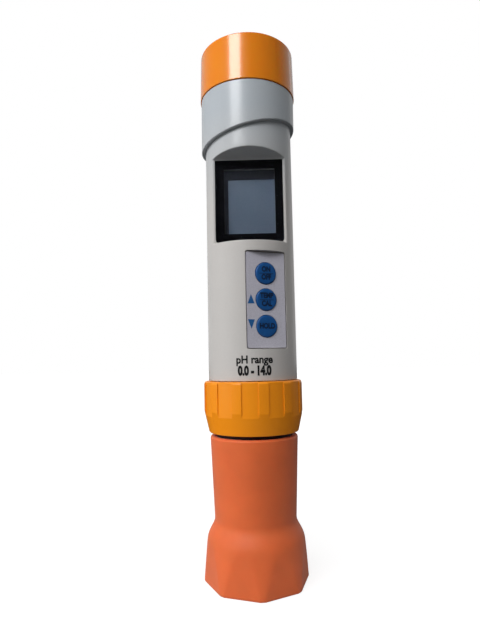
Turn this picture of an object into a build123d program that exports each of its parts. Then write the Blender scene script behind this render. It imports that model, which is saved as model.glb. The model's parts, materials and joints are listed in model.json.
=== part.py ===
from build123d import *
import os
from math import cos, radians, sin, sqrt, tan

os.makedirs("parts", exist_ok=True)

# A pocket pH tester, standing on its storage cap. Millimetres, +Z up, the display faces -Y.
# Heights are chained upwards from the foot, so one changed size moves what stands on it.
# Radii are chained inwards and outwards from the tube, so the screwed and plugged pieces keep their fits.

# Storage cap: a round sleeve that flares into an eight-sided foot
storage_rim_wall = 2.32
storage_waist_step = 1.2
storage_waist_height = 20.8
storage_shoulder_step = 2.7
storage_shoulder_height = 13.4
flare_start = 0.35
flare_end = 0.46
flare_pull = 0.4
foot_side_count = 8
foot_flat_fade = 0.02
foot_corner_angle = 4.0
foot_turn = 5.7
foot_edge = 0.7
storage_floor = 2.6
storage_waist_wall = 1.8
storage_foot_wall = 3.1
storage_well_drop = 1.5
storage_taper_height = 10.65
storage_rim_edge = 0.8
sponge_height = 6.4
sponge_gap = 0.4
sponge_edge = 0.6
guard_floor_gap = 5.45

# Sensor: a plug held up in the housing neck by a screwed collar
nose_step = 1.2
nose_height = 11.0
nose_gap = 1.0
nose_lead_in = 0.6
cap_fit = 0.08
cap_gap = 1.2
flange_height = 2.9
flange_overhang = 0.4
plug_height = 9.2
plug_fit = 0.08
plug_crown_height = 2.0
plug_crown_radius = 9.0
head_block_height = 4.5
spigot_height = 2.5
pin_count = 4
pin_pitch = 2.5
pin_radius = 0.45
pin_reach = 5.0
pin_root = 3.0
pin_fit = 0.1

# Probe end
guard_radius = 9.4
guard_wall = 1.5
guard_edge = 0.5
guard_length = 21.5
guard_slot_count = 6
guard_slot_width = 3.6
guard_slot_height = 12.0
guard_rim = 3.4
bulb_radius = 4.0
bulb_wall = 0.5
bulb_setback = 2.0
stem_radius = 3.6
stem_wall = 0.6
stem_depth = 18.0
wire_radius = 0.3
wire_tail = 2.0
thimble_radius = 1.2
thimble_offset = 6.0
thimble_reach = 12.0
thimble_depth = 6.0
thimble_edge = 0.95
junction_radius = 1.4
junction_reach = 0.8
junction_depth = 5.0
potting_gap = 0.02

# Collar
collar_height = 17.45
collar_wall = 2.87
collar_foot_inset = 1.67
collar_cone_height = 7.3
collar_lip = 1.9
collar_lip_fit = 0.3
collar_bore_fit = 0.3
collar_top_edge = 1.0
collar_foot_edge = 0.4
collar_flange_gap = 0.05
facet_count = 12
facet_depth = 0.37
facet_width = 5.6
facet_turn = 26.3
facet_margin = 1.3

# Housing
tube_radius = 15.5
tube_wall = 2.0
shoulder_gap = 0.15
neck_wall = 1.6
neck_step = 1.9
neck_flange_gap = 0.1
neck_shelf = 3.0
head_step = 1.35
head_gap = 9.4
head_height = 15.3
head_slant = 13.5
head_rim_edge = 0.4
head_bore_wall = 2.55
shell_backing = 1.2

# Display recess and window
display_gap = 3.9
display_height = 29.7
display_depth = 6.5
display_ledge_slope = 15.8
display_lip_draft = 3.5
window_land = 0.92
window_thickness = 1.2
window_corner = 1.3
window_top_corner = 0.3
window_gap = 0.1
border_thickness = 0.15
border_left = 3.1
border_right = 2.7
aperture_bottom_margin = 3.5
aperture_top_margin = 3.2
glass_left_mask = 1.3
glass_right_lap = 0.7
glass_bottom_margin = 3.1
glass_height = 20.1
glass_lip = 0.6
glass_thickness = 2.0
frame_lip = 0.3
frame_wall = 0.6
frame_margin = 0.4
strip_thickness = 1.25
strip_height = 2.4

# Keypad recess, buttons and switches
keypad_turn = 21.2
keypad_rise = 10.4
keypad_end = 7.45
keypad_width = 14.4
keypad_depth = 2.1
keypad_corner = 0.8
keypad_wall = 1.5
label_thickness = 0.3
label_gap = 0.35
button_radius = 3.65
button_pitch = 8.8
button_proud = 0.5
button_gap = 0.15
button_edge = 0.3
button_flange = 0.5
button_flange_height = 0.7
button_flange_gap = 0.05
button_stem_radius = 1.4
button_stem_height = 0.55
button_travel = 0.4
switch_width = 5.0
switch_height = 1.4
plunger_radius = 1.0
plunger_height = 1.0
plunger_gap = 0.15
plunger_proud = 0.45
key_board_thickness = 1.2
key_board_width = 13.0
stake_button_gap = 0.75
stake_inset = 1.7
stake_boss_radius = 1.6
stake_pin_radius = 0.8
stake_head_radius = 1.3
stake_head_height = 0.5
stake_gap = 0.1
lead_count = 4
lead_pitch = 2.0
lead_radius = 0.3
lead_inset = 2.0

# Circuit board and the frame that carries it
board_thickness = 1.6
board_side_gap = 0.58
board_bottom_gap = 1.0
board_overhang = 3.2
carrier_gap = 0.2
carrier_wall = 1.2
boss_radius = 2.2
boss_side_inset = 3.8
boss_socket_gap = 1.5
boss_drop = 2.0
screw_radius = 0.75
screw_gap = 0.05
screw_head_radius = 1.6
screw_head_height = 0.9
screw_length = 6.0
controller_width = 7.0
controller_height = 1.2
controller_rise = 54.0
amplifier_width = 5.0
amplifier_height = 1.5
amplifier_rise = 26.0
chip_size = (1.6, 0.9, 0.8)
chip_columns = 4
chip_rows = 2
chip_pitch = 3.2
chip_drop = 8.0
socket_width = 11.0
socket_depth = 6.0
socket_height = 8.5
socket_gap = 1.0

# Batteries and their tube
cell_radius = 5.8
cell_height = 5.4
cell_edge = 0.3
cell_count = 3
cell_gap = 0.2
battery_tube_wall = 1.0
battery_tube_drop = 5.0
cell_stand = 2.7
battery_tube_floor = 1.5
battery_flange_height = 1.6
battery_flange_gap = 0.2
contact_thickness = 0.3
contact_leg_width = 3.0
contact_overlap = 2.5
contact_rivet_radius = 1.2
spring_height = 3.2
spring_wire = 0.3
spring_radius = 4.2
spring_turns = 3.0
side_contact_gap = 0.1
side_contact_width = 1.4
contact_gap = 0.05

# Battery cap
battery_cap_height = 16.6
battery_cap_draft = 0.32
battery_cap_edge = 0.9
battery_cap_wall = 2.2
seam_gap = 0.1
spigot_gap = 0.6
spigot_wall = 1.7
spigot_length = 7.8
spigot_land = 2.9
spigot_land_gap = 0.15
spigot_flange_gap = 0.9
cap_contact_lap = 1.4
cap_boss_radius = 5.6
cap_boss_wall = 1.6

# Seal rings: all three share one section
seal_depth = 1.2
seal_width = 1.6
seal_corner = 0.5
seal_gap = 0.03
seal_side_gap = 0.05

# Radii worked out from the tube
neck_radius = tube_radius - neck_step
neck_bore = neck_radius - neck_wall
plug_radius = neck_bore - plug_fit
flange_radius = neck_radius + flange_overhang
nose_radius = flange_radius - nose_step
collar_bore = flange_radius + collar_bore_fit
collar_radius = collar_bore + collar_wall
collar_foot_radius = collar_radius - collar_foot_inset
storage_bore = nose_radius + cap_fit
storage_rim_radius = storage_bore + storage_rim_wall
storage_waist_radius = storage_rim_radius - storage_waist_step
storage_shoulder_radius = storage_waist_radius + storage_shoulder_step
foot_flat_radius = storage_shoulder_radius + foot_flat_fade
storage_foot_radius = foot_flat_radius / cos(radians(180 / foot_side_count - foot_corner_angle / 2))
guard_bore = guard_radius - guard_wall
tube_bore = tube_radius - tube_wall
head_radius = tube_radius + head_step
head_bore = head_radius - head_bore_wall

# Heights, from the foot up
guard_bottom = storage_floor + sponge_height + guard_floor_gap
head_block_bottom = guard_bottom + guard_length
spigot_bottom = head_block_bottom - spigot_height
nose_bottom = head_block_bottom + head_block_height
flange_bottom = nose_bottom + nose_height
flange_top = flange_bottom + flange_height
plug_top = flange_top + plug_height
sensor_top = plug_top + plug_crown_height
collar_lip_top = flange_bottom - collar_flange_gap
collar_bottom = collar_lip_top - collar_lip
collar_top = collar_bottom + collar_height
storage_height = collar_bottom - cap_gap

neck_bottom = flange_top + neck_flange_gap
housing_bottom = collar_top + shoulder_gap
shelf_z = housing_bottom + neck_shelf
keypad_bottom = housing_bottom + keypad_rise
keypad_height = 2 * (button_pitch + keypad_end)
keypad_middle = keypad_bottom + keypad_height / 2
display_bottom = keypad_bottom + keypad_height + display_gap
display_top = display_bottom + display_height
display_middle = (display_bottom + display_top) / 2
head_rim_z = display_top + head_gap
housing_top = head_rim_z + head_height
spigot_end = housing_top - spigot_length
head_ledge_z = spigot_end - spigot_flange_gap - battery_flange_height

# Display: depths from the axis, and the half width of the flat
display_flat = tube_radius - display_depth
flat_half_width = sqrt(tube_radius**2 - display_flat**2)
window_width = 2 * (flat_half_width - window_land)
window_height = display_height - 2 * window_gap
window_pocket_floor = display_flat - window_thickness - border_thickness
display_backing = window_pocket_floor - shell_backing
aperture_left = window_width / 2 - border_left
aperture_right = window_width / 2 - border_right
aperture_width = aperture_left + aperture_right
aperture_x = (aperture_right - aperture_left) / 2
aperture_bottom = display_bottom + aperture_bottom_margin
aperture_top = display_top - aperture_top_margin
aperture_middle = (aperture_bottom + aperture_top) / 2
glass_left = aperture_left - glass_left_mask
glass_right = aperture_right + glass_right_lap
glass_x = (glass_right - glass_left) / 2
glass_view = glass_left + glass_right
glass_bottom = display_bottom + glass_bottom_margin
glass_middle = glass_bottom + glass_height / 2
glass_front = display_backing - frame_lip
glass_back = glass_front - glass_thickness
frame_half_width = glass_right + glass_lip + frame_wall

# Keypad: a plane turned to the right, and the depths of what lies under it
keypad_floor = tube_radius - keypad_depth
keypad_backing = keypad_floor - keypad_wall
keypad_plane = Plane(
    origin=(0, 0, 0),
    x_dir=(cos(radians(keypad_turn)), sin(radians(keypad_turn)), 0),
    z_dir=(sin(radians(keypad_turn)), -cos(radians(keypad_turn)), 0),
)
keypad_axis = Axis((0, 0, 0), keypad_plane.z_dir)
button_names = ("on_off", "temp_cal", "hold")
button_heights = [keypad_middle + (1 - place) * button_pitch for place in range(3)]
label_front = keypad_floor + label_thickness
button_front = label_front + button_proud
flange_front = keypad_backing - button_flange_gap
flange_back = flange_front - button_flange_height
stem_back = flange_back - button_stem_height
switch_front = stem_back - plunger_proud
key_board_front = switch_front - switch_height
key_board_back = key_board_front - key_board_thickness
stake_reach = button_pitch + button_radius + button_flange + stake_button_gap + stake_boss_radius
stake_heights = (keypad_middle - stake_reach, keypad_middle + stake_reach)
key_board_height = 2 * (stake_reach + stake_inset)

# Circuit board, its carrier and the plug-in connection
board_front = glass_back - strip_thickness
board_back = board_front - board_thickness
board_width = 2 * (sqrt(tube_bore**2 - board_front**2) - board_side_gap)
board_bottom = shelf_z + board_bottom_gap
board_top = display_top + board_overhang
carrier_radius = tube_bore - carrier_gap
boss_offset = board_width / 2 - boss_side_inset
socket_bottom = sensor_top + socket_gap
boss_heights = (
    socket_bottom + socket_height + boss_socket_gap + boss_radius,
    display_bottom - boss_drop,
)
pin_offset = socket_depth / 2 - board_back

# Batteries and their cap
battery_tube_bore = cell_radius + cell_gap
battery_tube_radius = battery_tube_bore + battery_tube_wall
battery_tube_bottom = head_ledge_z - battery_tube_drop
battery_floor_z = battery_tube_bottom + battery_tube_floor
spring_bottom = battery_floor_z + contact_thickness
cell_bottom = spring_bottom + spring_height
cell_top = cell_bottom + cell_count * cell_height
battery_tube_height = cell_top - cell_stand - battery_tube_bottom
side_contact_offset = battery_tube_radius + side_contact_gap + side_contact_width / 2
cap_contact_radius = side_contact_offset + cap_contact_lap

battery_cap_bottom = housing_top + seam_gap
battery_cap_top = battery_cap_bottom + battery_cap_height
spigot_radius = head_bore - spigot_gap
spigot_bore = spigot_radius - spigot_wall
land_radius = head_bore - spigot_land_gap
battery_seal_z = housing_top - spigot_land / 2
sensor_seal_z = flange_top + plug_height / 2
storage_seal_z = (nose_bottom + storage_height) / 2


def write(piece, name):
    """Label a finished piece and write it to its own file."""
    piece.part.label = name
    export_step(piece.part, "parts/" + name + ".step")


def seal_ring(outer_radius, centre_z):
    """A rubber ring, squeezed to the shape of its groove."""
    with BuildPart() as ring:
        with BuildSketch(Plane.XZ):
            with Locations((outer_radius - seal_depth / 2, centre_z)):
                RectangleRounded(seal_depth, seal_width, seal_corner)
        revolve(axis=Axis.Z)
    return ring


def window_outline(gap):
    """The outline of the window, grown by a gap, with its larger corners below."""
    with BuildSketch() as outline:
        Rectangle(window_width + 2 * gap, window_height + 2 * gap)
        fillet(outline.vertices().sort_by(Axis.Y)[:2], window_corner + gap)
        fillet(outline.vertices().sort_by(Axis.Y)[-2:], window_top_corner + gap)
    return outline.sketch


def groove(outer_radius, ring_radius, centre_z):
    """The tool that cuts a seal groove into a round land."""
    with BuildPart() as cutter:
        with BuildSketch(Plane.XY.offset(centre_z - seal_width / 2 - seal_side_gap)):
            Circle(outer_radius + 1)
            Circle(ring_radius - seal_depth - seal_side_gap, mode=Mode.SUBTRACT)
        extrude(amount=seal_width + 2 * seal_side_gap)
    return cutter


# Storage cap
with BuildPart() as storage_cap:
    with BuildSketch(Plane.XZ):
        with BuildLine():
            flare_depth = storage_waist_height - storage_shoulder_height
            side = Polyline(
                (storage_waist_radius, storage_waist_height),
                (storage_rim_radius, storage_height),
                (0, storage_height),
                (0, 0),
                (storage_foot_radius, 0),
                (storage_shoulder_radius, storage_shoulder_height),
            )
            Bezier(
                side @ 0,
                (storage_waist_radius, storage_waist_height - flare_start * flare_depth),
                (storage_shoulder_radius - flare_pull, storage_shoulder_height + flare_end * flare_depth),
                side @ 1,
            )
        make_face()
    revolve(axis=Axis.Z)
    with BuildSketch(Plane.XY):
        RegularPolygon(foot_flat_radius, foot_side_count, major_radius=False, rotation=foot_turn)
    extrude(amount=storage_height, mode=Mode.INTERSECT)
    chamfer(storage_cap.faces().sort_by(Axis.Z)[0].edges(), foot_edge)
    fillet(storage_cap.faces().sort_by(Axis.Z)[-1].edges(), storage_rim_edge)
    with BuildSketch(Plane.XZ):
        with BuildLine():
            waist_bore = storage_waist_radius - storage_waist_wall
            well_radius = foot_flat_radius - storage_foot_wall
            Polyline(
                (0, storage_floor),
                (well_radius, storage_floor),
                (well_radius, storage_shoulder_height - storage_well_drop),
                (waist_bore, storage_waist_height - storage_well_drop),
                (waist_bore, nose_bottom - nose_gap - storage_taper_height),
                (storage_bore, nose_bottom - nose_gap),
                (storage_bore, storage_height),
                (0, storage_height),
                (0, storage_floor),
            )
        make_face()
    revolve(axis=Axis.Z, mode=Mode.SUBTRACT)
write(storage_cap, "storage_cap")

# Sponge that keeps the electrode damp, in the well of the storage cap
with BuildPart() as storage_sponge:
    with BuildSketch(Plane.XY.offset(storage_floor)):
        Circle(well_radius - sponge_gap)
    extrude(amount=sponge_height)
    fillet(storage_sponge.edges().filter_by(GeomType.CIRCLE), sponge_edge)
write(storage_sponge, "storage_sponge")

# Collar: a ring nut with twelve flats between grip ribs and a lip that carries the sensor flange
with BuildPart() as sensor_collar:
    lip_radius = nose_radius + collar_lip_fit
    with BuildSketch(Plane.XZ):
        with BuildLine():
            Polyline(
                (lip_radius, collar_bottom),
                (collar_foot_radius, collar_bottom),
                (collar_radius, collar_bottom + collar_cone_height),
                (collar_radius, collar_top),
                (collar_bore, collar_top),
                (collar_bore, collar_lip_top),
                (lip_radius, collar_lip_top),
                (lip_radius, collar_bottom),
            )
        make_face()
    revolve(axis=Axis.Z)
    top_rings = sensor_collar.faces().sort_by(Axis.Z)[-1].edges().sort_by(SortBy.LENGTH)
    fillet(top_rings[-1], collar_top_edge)
    foot_rings = sensor_collar.faces().sort_by(Axis.Z)[0].edges().sort_by(SortBy.LENGTH)
    fillet(foot_rings[-1], collar_foot_edge)
    facet_distance = collar_radius - facet_depth
    with BuildSketch(Plane.XY.offset(collar_bottom)):
        with PolarLocations(facet_distance + 1, facet_count, start_angle=facet_turn):
            Rectangle(2, facet_width)
    extrude(amount=collar_height - facet_margin, mode=Mode.SUBTRACT)
write(sensor_collar, "sensor_collar")

# Sensor body: nose, flange and plug in one moulding, bored for what is potted in it
sensor_seal_radius = neck_bore - seal_gap
storage_seal_radius = storage_bore - seal_gap
plug_groove = groove(plug_radius, sensor_seal_radius, sensor_seal_z)
nose_groove = groove(nose_radius, storage_seal_radius, storage_seal_z)
pin_points = [((place - (pin_count - 1) / 2) * pin_pitch, pin_offset) for place in range(pin_count)]
stem_top = spigot_bottom + stem_depth
with BuildPart() as sensor_body:
    with BuildSketch(Plane.XZ):
        with BuildLine():
            Polyline(
                (0, spigot_bottom),
                (guard_bore - potting_gap, spigot_bottom),
                (guard_bore - potting_gap, head_block_bottom),
                (guard_radius, head_block_bottom),
                (guard_radius, nose_bottom),
                (nose_radius, nose_bottom),
                (nose_radius, flange_bottom),
                (flange_radius, flange_bottom),
                (flange_radius, flange_top),
                (plug_radius, flange_top),
                (plug_radius, plug_top),
                (plug_crown_radius, plug_top),
                (plug_crown_radius, sensor_top),
                (0, sensor_top),
                (0, spigot_bottom),
            )
        make_face()
    revolve(axis=Axis.Z)
    nose_rings = sensor_body.edges().filter_by(GeomType.CIRCLE)
    lead_in = nose_rings.filter_by_position(Axis.Z, nose_bottom - 0.1, nose_bottom + 0.1)
    chamfer(lead_in.sort_by(SortBy.LENGTH)[-1], nose_lead_in)
    add(plug_groove.part, mode=Mode.SUBTRACT)
    add(nose_groove.part, mode=Mode.SUBTRACT)
    with BuildSketch(Plane.XY.offset(spigot_bottom)):
        Circle(stem_radius + potting_gap)
    extrude(amount=stem_depth, mode=Mode.SUBTRACT)
    with BuildSketch(Plane.XY.offset(stem_top)):
        Circle(wire_radius + potting_gap)
    extrude(amount=wire_tail, mode=Mode.SUBTRACT)
    with BuildSketch(Plane.XY.offset(spigot_bottom)):
        with Locations((thimble_offset, 0)):
            Circle(thimble_radius + potting_gap)
    extrude(amount=thimble_depth, mode=Mode.SUBTRACT)
    with BuildSketch(Plane.XY.offset(spigot_bottom)):
        with Locations((-thimble_offset, 0)):
            Circle(junction_radius + potting_gap)
    extrude(amount=junction_depth, mode=Mode.SUBTRACT)
    with BuildSketch(Plane.XY.offset(sensor_top - pin_root)):
        with Locations(*pin_points):
            Circle(pin_radius + potting_gap)
    extrude(amount=pin_root, mode=Mode.SUBTRACT)
write(sensor_body, "sensor_body")

# Seal rings on the plug and on the nose
sensor_seal = seal_ring(sensor_seal_radius, sensor_seal_z)
write(sensor_seal, "sensor_seal")
storage_cap_seal = seal_ring(storage_seal_radius, storage_seal_z)
write(storage_cap_seal, "storage_cap_seal")

# Contact pins on top of the sensor
with BuildPart() as connector_pins:
    with BuildSketch(Plane.XY.offset(sensor_top - pin_root)):
        with Locations(*pin_points):
            Circle(pin_radius)
    extrude(amount=pin_root + pin_reach)
write(connector_pins, "connector_pins")

# Guard: a slotted tube round the glass bulb
with BuildPart() as probe_guard:
    with BuildSketch(Plane.XY.offset(guard_bottom)):
        Circle(guard_radius)
        Circle(guard_bore, mode=Mode.SUBTRACT)
    extrude(amount=guard_length)
    rim_edges = probe_guard.faces().sort_by(Axis.Z)[0].edges().sort_by(SortBy.LENGTH)
    fillet(rim_edges[-1], guard_edge)
    slot_middle = guard_bottom + guard_rim + guard_slot_height / 2
    slot_half = guard_slot_height / 2
    for place in range(guard_slot_count):
        turn = radians(360 * place / guard_slot_count)
        slot_plane = Plane(
            origin=(0, 0, slot_middle),
            x_dir=(cos(turn), sin(turn), 0),
            z_dir=(sin(turn), -cos(turn), 0),
        )
        with BuildSketch(slot_plane):
            SlotOverall(guard_slot_height, guard_slot_width, rotation=90)
        extrude(amount=guard_radius + 1, mode=Mode.SUBTRACT)
write(probe_guard, "probe_guard")

# Glass electrode: a thin bulb blown on the end of a tube
bulb_centre = guard_bottom + bulb_setback + bulb_radius
with BuildPart() as glass_electrode:
    with BuildSketch(Plane.XZ):
        outer_join = bulb_centre + sqrt(bulb_radius**2 - stem_radius**2)
        inner_bulb = bulb_radius - bulb_wall
        inner_stem = stem_radius - stem_wall
        inner_join = bulb_centre + sqrt(inner_bulb**2 - inner_stem**2)
        with BuildLine():
            Line((0, bulb_centre - inner_bulb), (0, bulb_centre - bulb_radius))
            ThreePointArc(
                (0, bulb_centre - bulb_radius),
                (bulb_radius, bulb_centre),
                (stem_radius, outer_join),
            )
            Polyline(
                (stem_radius, outer_join),
                (stem_radius, stem_top),
                (inner_stem, stem_top),
                (inner_stem, inner_join),
            )
            ThreePointArc(
                (inner_stem, inner_join),
                (inner_bulb, bulb_centre),
                (0, bulb_centre - inner_bulb),
            )
        make_face()
    revolve(axis=Axis.Z)
write(glass_electrode, "glass_electrode")

# Silver wire down the middle of the glass tube
with BuildPart() as electrode_wire:
    with BuildSketch(Plane.XY.offset(bulb_centre)):
        Circle(wire_radius)
    extrude(amount=stem_top + wire_tail - bulb_centre)
write(electrode_wire, "electrode_wire")

# Metal thimble of the temperature probe
with BuildPart() as temperature_probe:
    with BuildSketch(Plane.XY.offset(spigot_bottom - thimble_reach)):
        with Locations((thimble_offset, 0)):
            Circle(thimble_radius)
    extrude(amount=thimble_reach + thimble_depth)
    fillet(temperature_probe.faces().sort_by(Axis.Z)[0].edges(), thimble_edge)
write(temperature_probe, "temperature_probe")

# Porous junction of the reference cell
with BuildPart() as reference_junction:
    with BuildSketch(Plane.XY.offset(spigot_bottom - junction_reach)):
        with Locations((-thimble_offset, 0)):
            Circle(junction_radius)
    extrude(amount=junction_reach + junction_depth)
write(reference_junction, "reference_junction")

# The space inside the housing, with steps left in for the display and keypad walls
with BuildPart() as inner_space:
    with BuildSketch(Plane.XY.offset(shelf_z)):
        Circle(tube_bore)
    extrude(amount=head_ledge_z - shelf_z)
    with BuildSketch(Plane.XZ.offset(display_backing)):
        with Locations((0, display_middle)):
            Rectangle(2 * tube_radius, display_height + 2 * shell_backing)
    extrude(amount=tube_radius, mode=Mode.SUBTRACT)
    with BuildSketch(keypad_plane.offset(keypad_backing)):
        with Locations((0, keypad_middle)):
            Rectangle(2 * tube_radius, keypad_height + 2 * shell_backing)
    extrude(amount=tube_radius, mode=Mode.SUBTRACT)
    with BuildSketch(Plane.XY.offset(neck_bottom)):
        Circle(neck_bore)
    extrude(amount=shelf_z - neck_bottom)
    with BuildSketch(Plane.XY.offset(head_ledge_z)):
        Circle(head_bore)
    extrude(amount=housing_top - head_ledge_z)

# Housing: one moulded tube with a slanted head, a threaded neck and two recesses
with BuildPart() as main_housing:
    with BuildSketch(Plane.XY.offset(head_rim_z - head_radius)):
        Circle(head_radius)
    extrude(amount=head_height + head_radius)
    slant = radians(head_slant)
    rim_plane = Plane(origin=(0, 0, head_rim_z), z_dir=(-sin(slant), 0, cos(slant)))
    split(bisect_by=rim_plane, keep=Keep.TOP)
    fillet(main_housing.faces().sort_by(Axis.Z)[0].edges(), head_rim_edge)
    with BuildSketch(Plane.XY.offset(housing_bottom)):
        Circle(tube_radius)
    extrude(amount=housing_top - housing_bottom)
    with BuildSketch(Plane.XY.offset(neck_bottom)):
        Circle(neck_radius)
    extrude(amount=housing_bottom - neck_bottom)

    # Display recess: a flat across the front with a sloping ledge over it
    reach = tube_radius + 1
    ledge_rise = (reach - display_flat) * tan(radians(display_ledge_slope))
    lip_drop = (reach - display_flat) * tan(radians(display_lip_draft))
    with BuildSketch(Plane.YZ):
        with BuildLine():
            Polyline(
                (-display_flat, display_bottom),
                (-reach, display_bottom - lip_drop),
                (-reach, display_top + ledge_rise),
                (-display_flat, display_top),
                (-display_flat, display_bottom),
            )
        make_face()
    extrude(amount=reach, both=True, mode=Mode.SUBTRACT)
    with BuildSketch(Plane.XZ.offset(display_flat)):
        with Locations((0, display_middle)):
            add(window_outline(window_gap))
    extrude(amount=-(window_thickness + border_thickness), mode=Mode.SUBTRACT)
    with BuildSketch(Plane.XZ.offset(display_flat)):
        with Locations((aperture_x, aperture_middle)):
            Rectangle(aperture_width, aperture_top - aperture_bottom)
    extrude(amount=-display_flat, mode=Mode.SUBTRACT)

    # Keypad recess: a shallow pocket turned to the right of the display
    with BuildSketch(keypad_plane.offset(keypad_floor)):
        with Locations((0, keypad_middle)):
            RectangleRounded(keypad_width, keypad_height, keypad_corner)
    extrude(amount=tube_radius, mode=Mode.SUBTRACT)
    with BuildSketch(keypad_plane.offset(keypad_floor)):
        with Locations(*[(0, height) for height in button_heights]):
            Circle(button_radius + button_gap)
    extrude(amount=-keypad_floor / 2, mode=Mode.SUBTRACT)

    # Inside: bores, shelf and ledge, then the stakes that hold the key board
    add(inner_space.part, mode=Mode.SUBTRACT)
    stake_points = [(0, height) for height in stake_heights]
    with BuildSketch(keypad_plane.offset(key_board_front)):
        with Locations(*stake_points):
            Circle(stake_boss_radius)
    extrude(amount=keypad_backing - key_board_front)
    with BuildSketch(keypad_plane.offset(key_board_back)):
        with Locations(*stake_points):
            Circle(stake_pin_radius)
    extrude(amount=key_board_thickness)
    with BuildSketch(keypad_plane.offset(key_board_back)):
        with Locations(*stake_points):
            Circle(stake_head_radius)
    extrude(amount=-stake_head_height)
write(main_housing, "main_housing")

# Clear window in the display recess
with BuildPart() as display_window:
    with BuildSketch(Plane.XZ.offset(window_pocket_floor + border_thickness)):
        with Locations((0, display_middle)):
            add(window_outline(0))
    extrude(amount=window_thickness)
write(display_window, "display_window")

# Black border film behind the window
with BuildPart() as window_border:
    with BuildSketch(Plane.XZ.offset(window_pocket_floor)):
        with Locations((0, display_middle)):
            add(window_outline(0))
        with Locations((aperture_x, aperture_middle)):
            Rectangle(aperture_width, aperture_top - aperture_bottom, mode=Mode.SUBTRACT)
    extrude(amount=border_thickness)
write(window_border, "window_border")

# Black frame that holds the display glass against its contact strips
with BuildPart() as lcd_frame:
    with BuildSketch(Plane.XZ.offset(board_front)):
        with Locations((0, display_middle)):
            Rectangle(2 * frame_half_width, display_height - 2 * frame_margin)
        with Locations((glass_x, glass_middle)):
            Rectangle(glass_view + 2 * glass_lip, glass_height + 2 * glass_lip, mode=Mode.SUBTRACT)
    extrude(amount=glass_front - board_front)
    with BuildSketch(Plane.XZ.offset(glass_front)):
        with Locations((0, display_middle)):
            Rectangle(2 * frame_half_width, display_height - 2 * frame_margin)
        with Locations((glass_x, glass_middle)):
            Rectangle(glass_view, glass_height, mode=Mode.SUBTRACT)
    extrude(amount=frame_lip)
write(lcd_frame, "lcd_frame")

# Liquid crystal glass
with BuildPart() as lcd_glass:
    with BuildSketch(Plane.XZ.offset(glass_back)):
        with Locations((glass_x, glass_middle)):
            Rectangle(glass_view + glass_lip, glass_height + glass_lip)
    extrude(amount=glass_thickness)
write(lcd_glass, "lcd_glass")

# Two rubber contact strips between the glass and the circuit board
for strip_name, strip_side in (("contact_strip_upper", 1), ("contact_strip_lower", -1)):
    strip_z = glass_middle + strip_side * (glass_height - strip_height) / 2
    with BuildPart() as contact_strip:
        with BuildSketch(Plane.XZ.offset(board_front)):
            with Locations((glass_x, strip_z)):
                Rectangle(glass_view, strip_height)
        extrude(amount=glass_back - board_front)
    write(contact_strip, strip_name)

# Printed keypad label, holed for the buttons
with BuildPart() as keypad_label:
    with BuildSketch(keypad_plane.offset(keypad_floor)):
        with Locations((0, keypad_middle)):
            RectangleRounded(
                keypad_width - 2 * label_gap,
                keypad_height - 2 * label_gap,
                keypad_corner - label_gap / 2,
            )
        with Locations(*[(0, height) for height in button_heights]):
            Circle(button_radius + button_gap, mode=Mode.SUBTRACT)
    extrude(amount=label_thickness)
write(keypad_label, "keypad_label")

# Three buttons, each with its flange under the wall and a stem that meets its switch
for button_name, button_z in zip(button_names, button_heights):
    with BuildPart() as button:
        with BuildSketch(keypad_plane.offset(flange_back)):
            with Locations((0, button_z)):
                Circle(button_radius + button_flange)
        extrude(amount=button_flange_height)
        with BuildSketch(keypad_plane.offset(flange_front)):
            with Locations((0, button_z)):
                Circle(button_radius)
        extrude(amount=button_front - flange_front)
        fillet(button.faces().sort_by(keypad_axis)[-1].edges(), button_edge)
        with BuildSketch(keypad_plane.offset(stem_back)):
            with Locations((0, button_z)):
                Circle(button_stem_radius)
        extrude(amount=button_stem_height)
    write(button, "button_" + button_name)

    # The switch under it: a square body on the key board and the plunger that travels with the button
    with BuildPart() as switch_body:
        with BuildSketch(keypad_plane.offset(key_board_front)):
            with Locations((0, button_z)):
                Rectangle(switch_width, switch_width)
        extrude(amount=switch_height)
        with BuildSketch(keypad_plane.offset(switch_front)):
            with Locations((0, button_z)):
                Circle(plunger_radius + plunger_gap)
        extrude(amount=-plunger_height, mode=Mode.SUBTRACT)
    write(switch_body, "switch_" + button_name)
    with BuildPart() as plunger:
        with BuildSketch(keypad_plane.offset(stem_back)):
            with Locations((0, button_z)):
                Circle(plunger_radius)
        extrude(amount=-(plunger_proud + plunger_height - button_travel - plunger_gap))
    write(plunger, "switch_plunger_" + button_name)

# Key board behind the keypad wall
with BuildPart() as key_board:
    with BuildSketch(keypad_plane.offset(key_board_back)):
        with Locations((0, keypad_middle)):
            Rectangle(key_board_width, key_board_height)
        with Locations(*stake_points):
            Circle(stake_pin_radius + stake_gap, mode=Mode.SUBTRACT)
    extrude(amount=key_board_thickness)
write(key_board, "key_board")

# Straight leads from the key board to the circuit board
lead_z = keypad_middle - key_board_height / 2 + stake_inset + lead_inset + stake_head_radius
with BuildPart() as key_leads:
    with BuildSketch(keypad_plane.offset(key_board_back)):
        with Locations((0, lead_z)):
            with GridLocations(lead_pitch, 1, lead_count, 1):
                Circle(lead_radius)
    extrude(amount=-key_board_back)
    split(bisect_by=Plane.XZ.offset(board_front), keep=Keep.TOP)
write(key_leads, "key_leads")

# Circuit board
with BuildPart() as circuit_board:
    with BuildSketch(Plane.XZ.offset(board_back)):
        with Locations((0, (board_bottom + board_top) / 2)):
            Rectangle(board_width, board_top - board_bottom)
        with Locations(*[(side * boss_offset, z) for side in (-1, 1) for z in boss_heights]):
            Circle(screw_radius + screw_gap, mode=Mode.SUBTRACT)
    extrude(amount=board_thickness)
write(circuit_board, "circuit_board")

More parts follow.
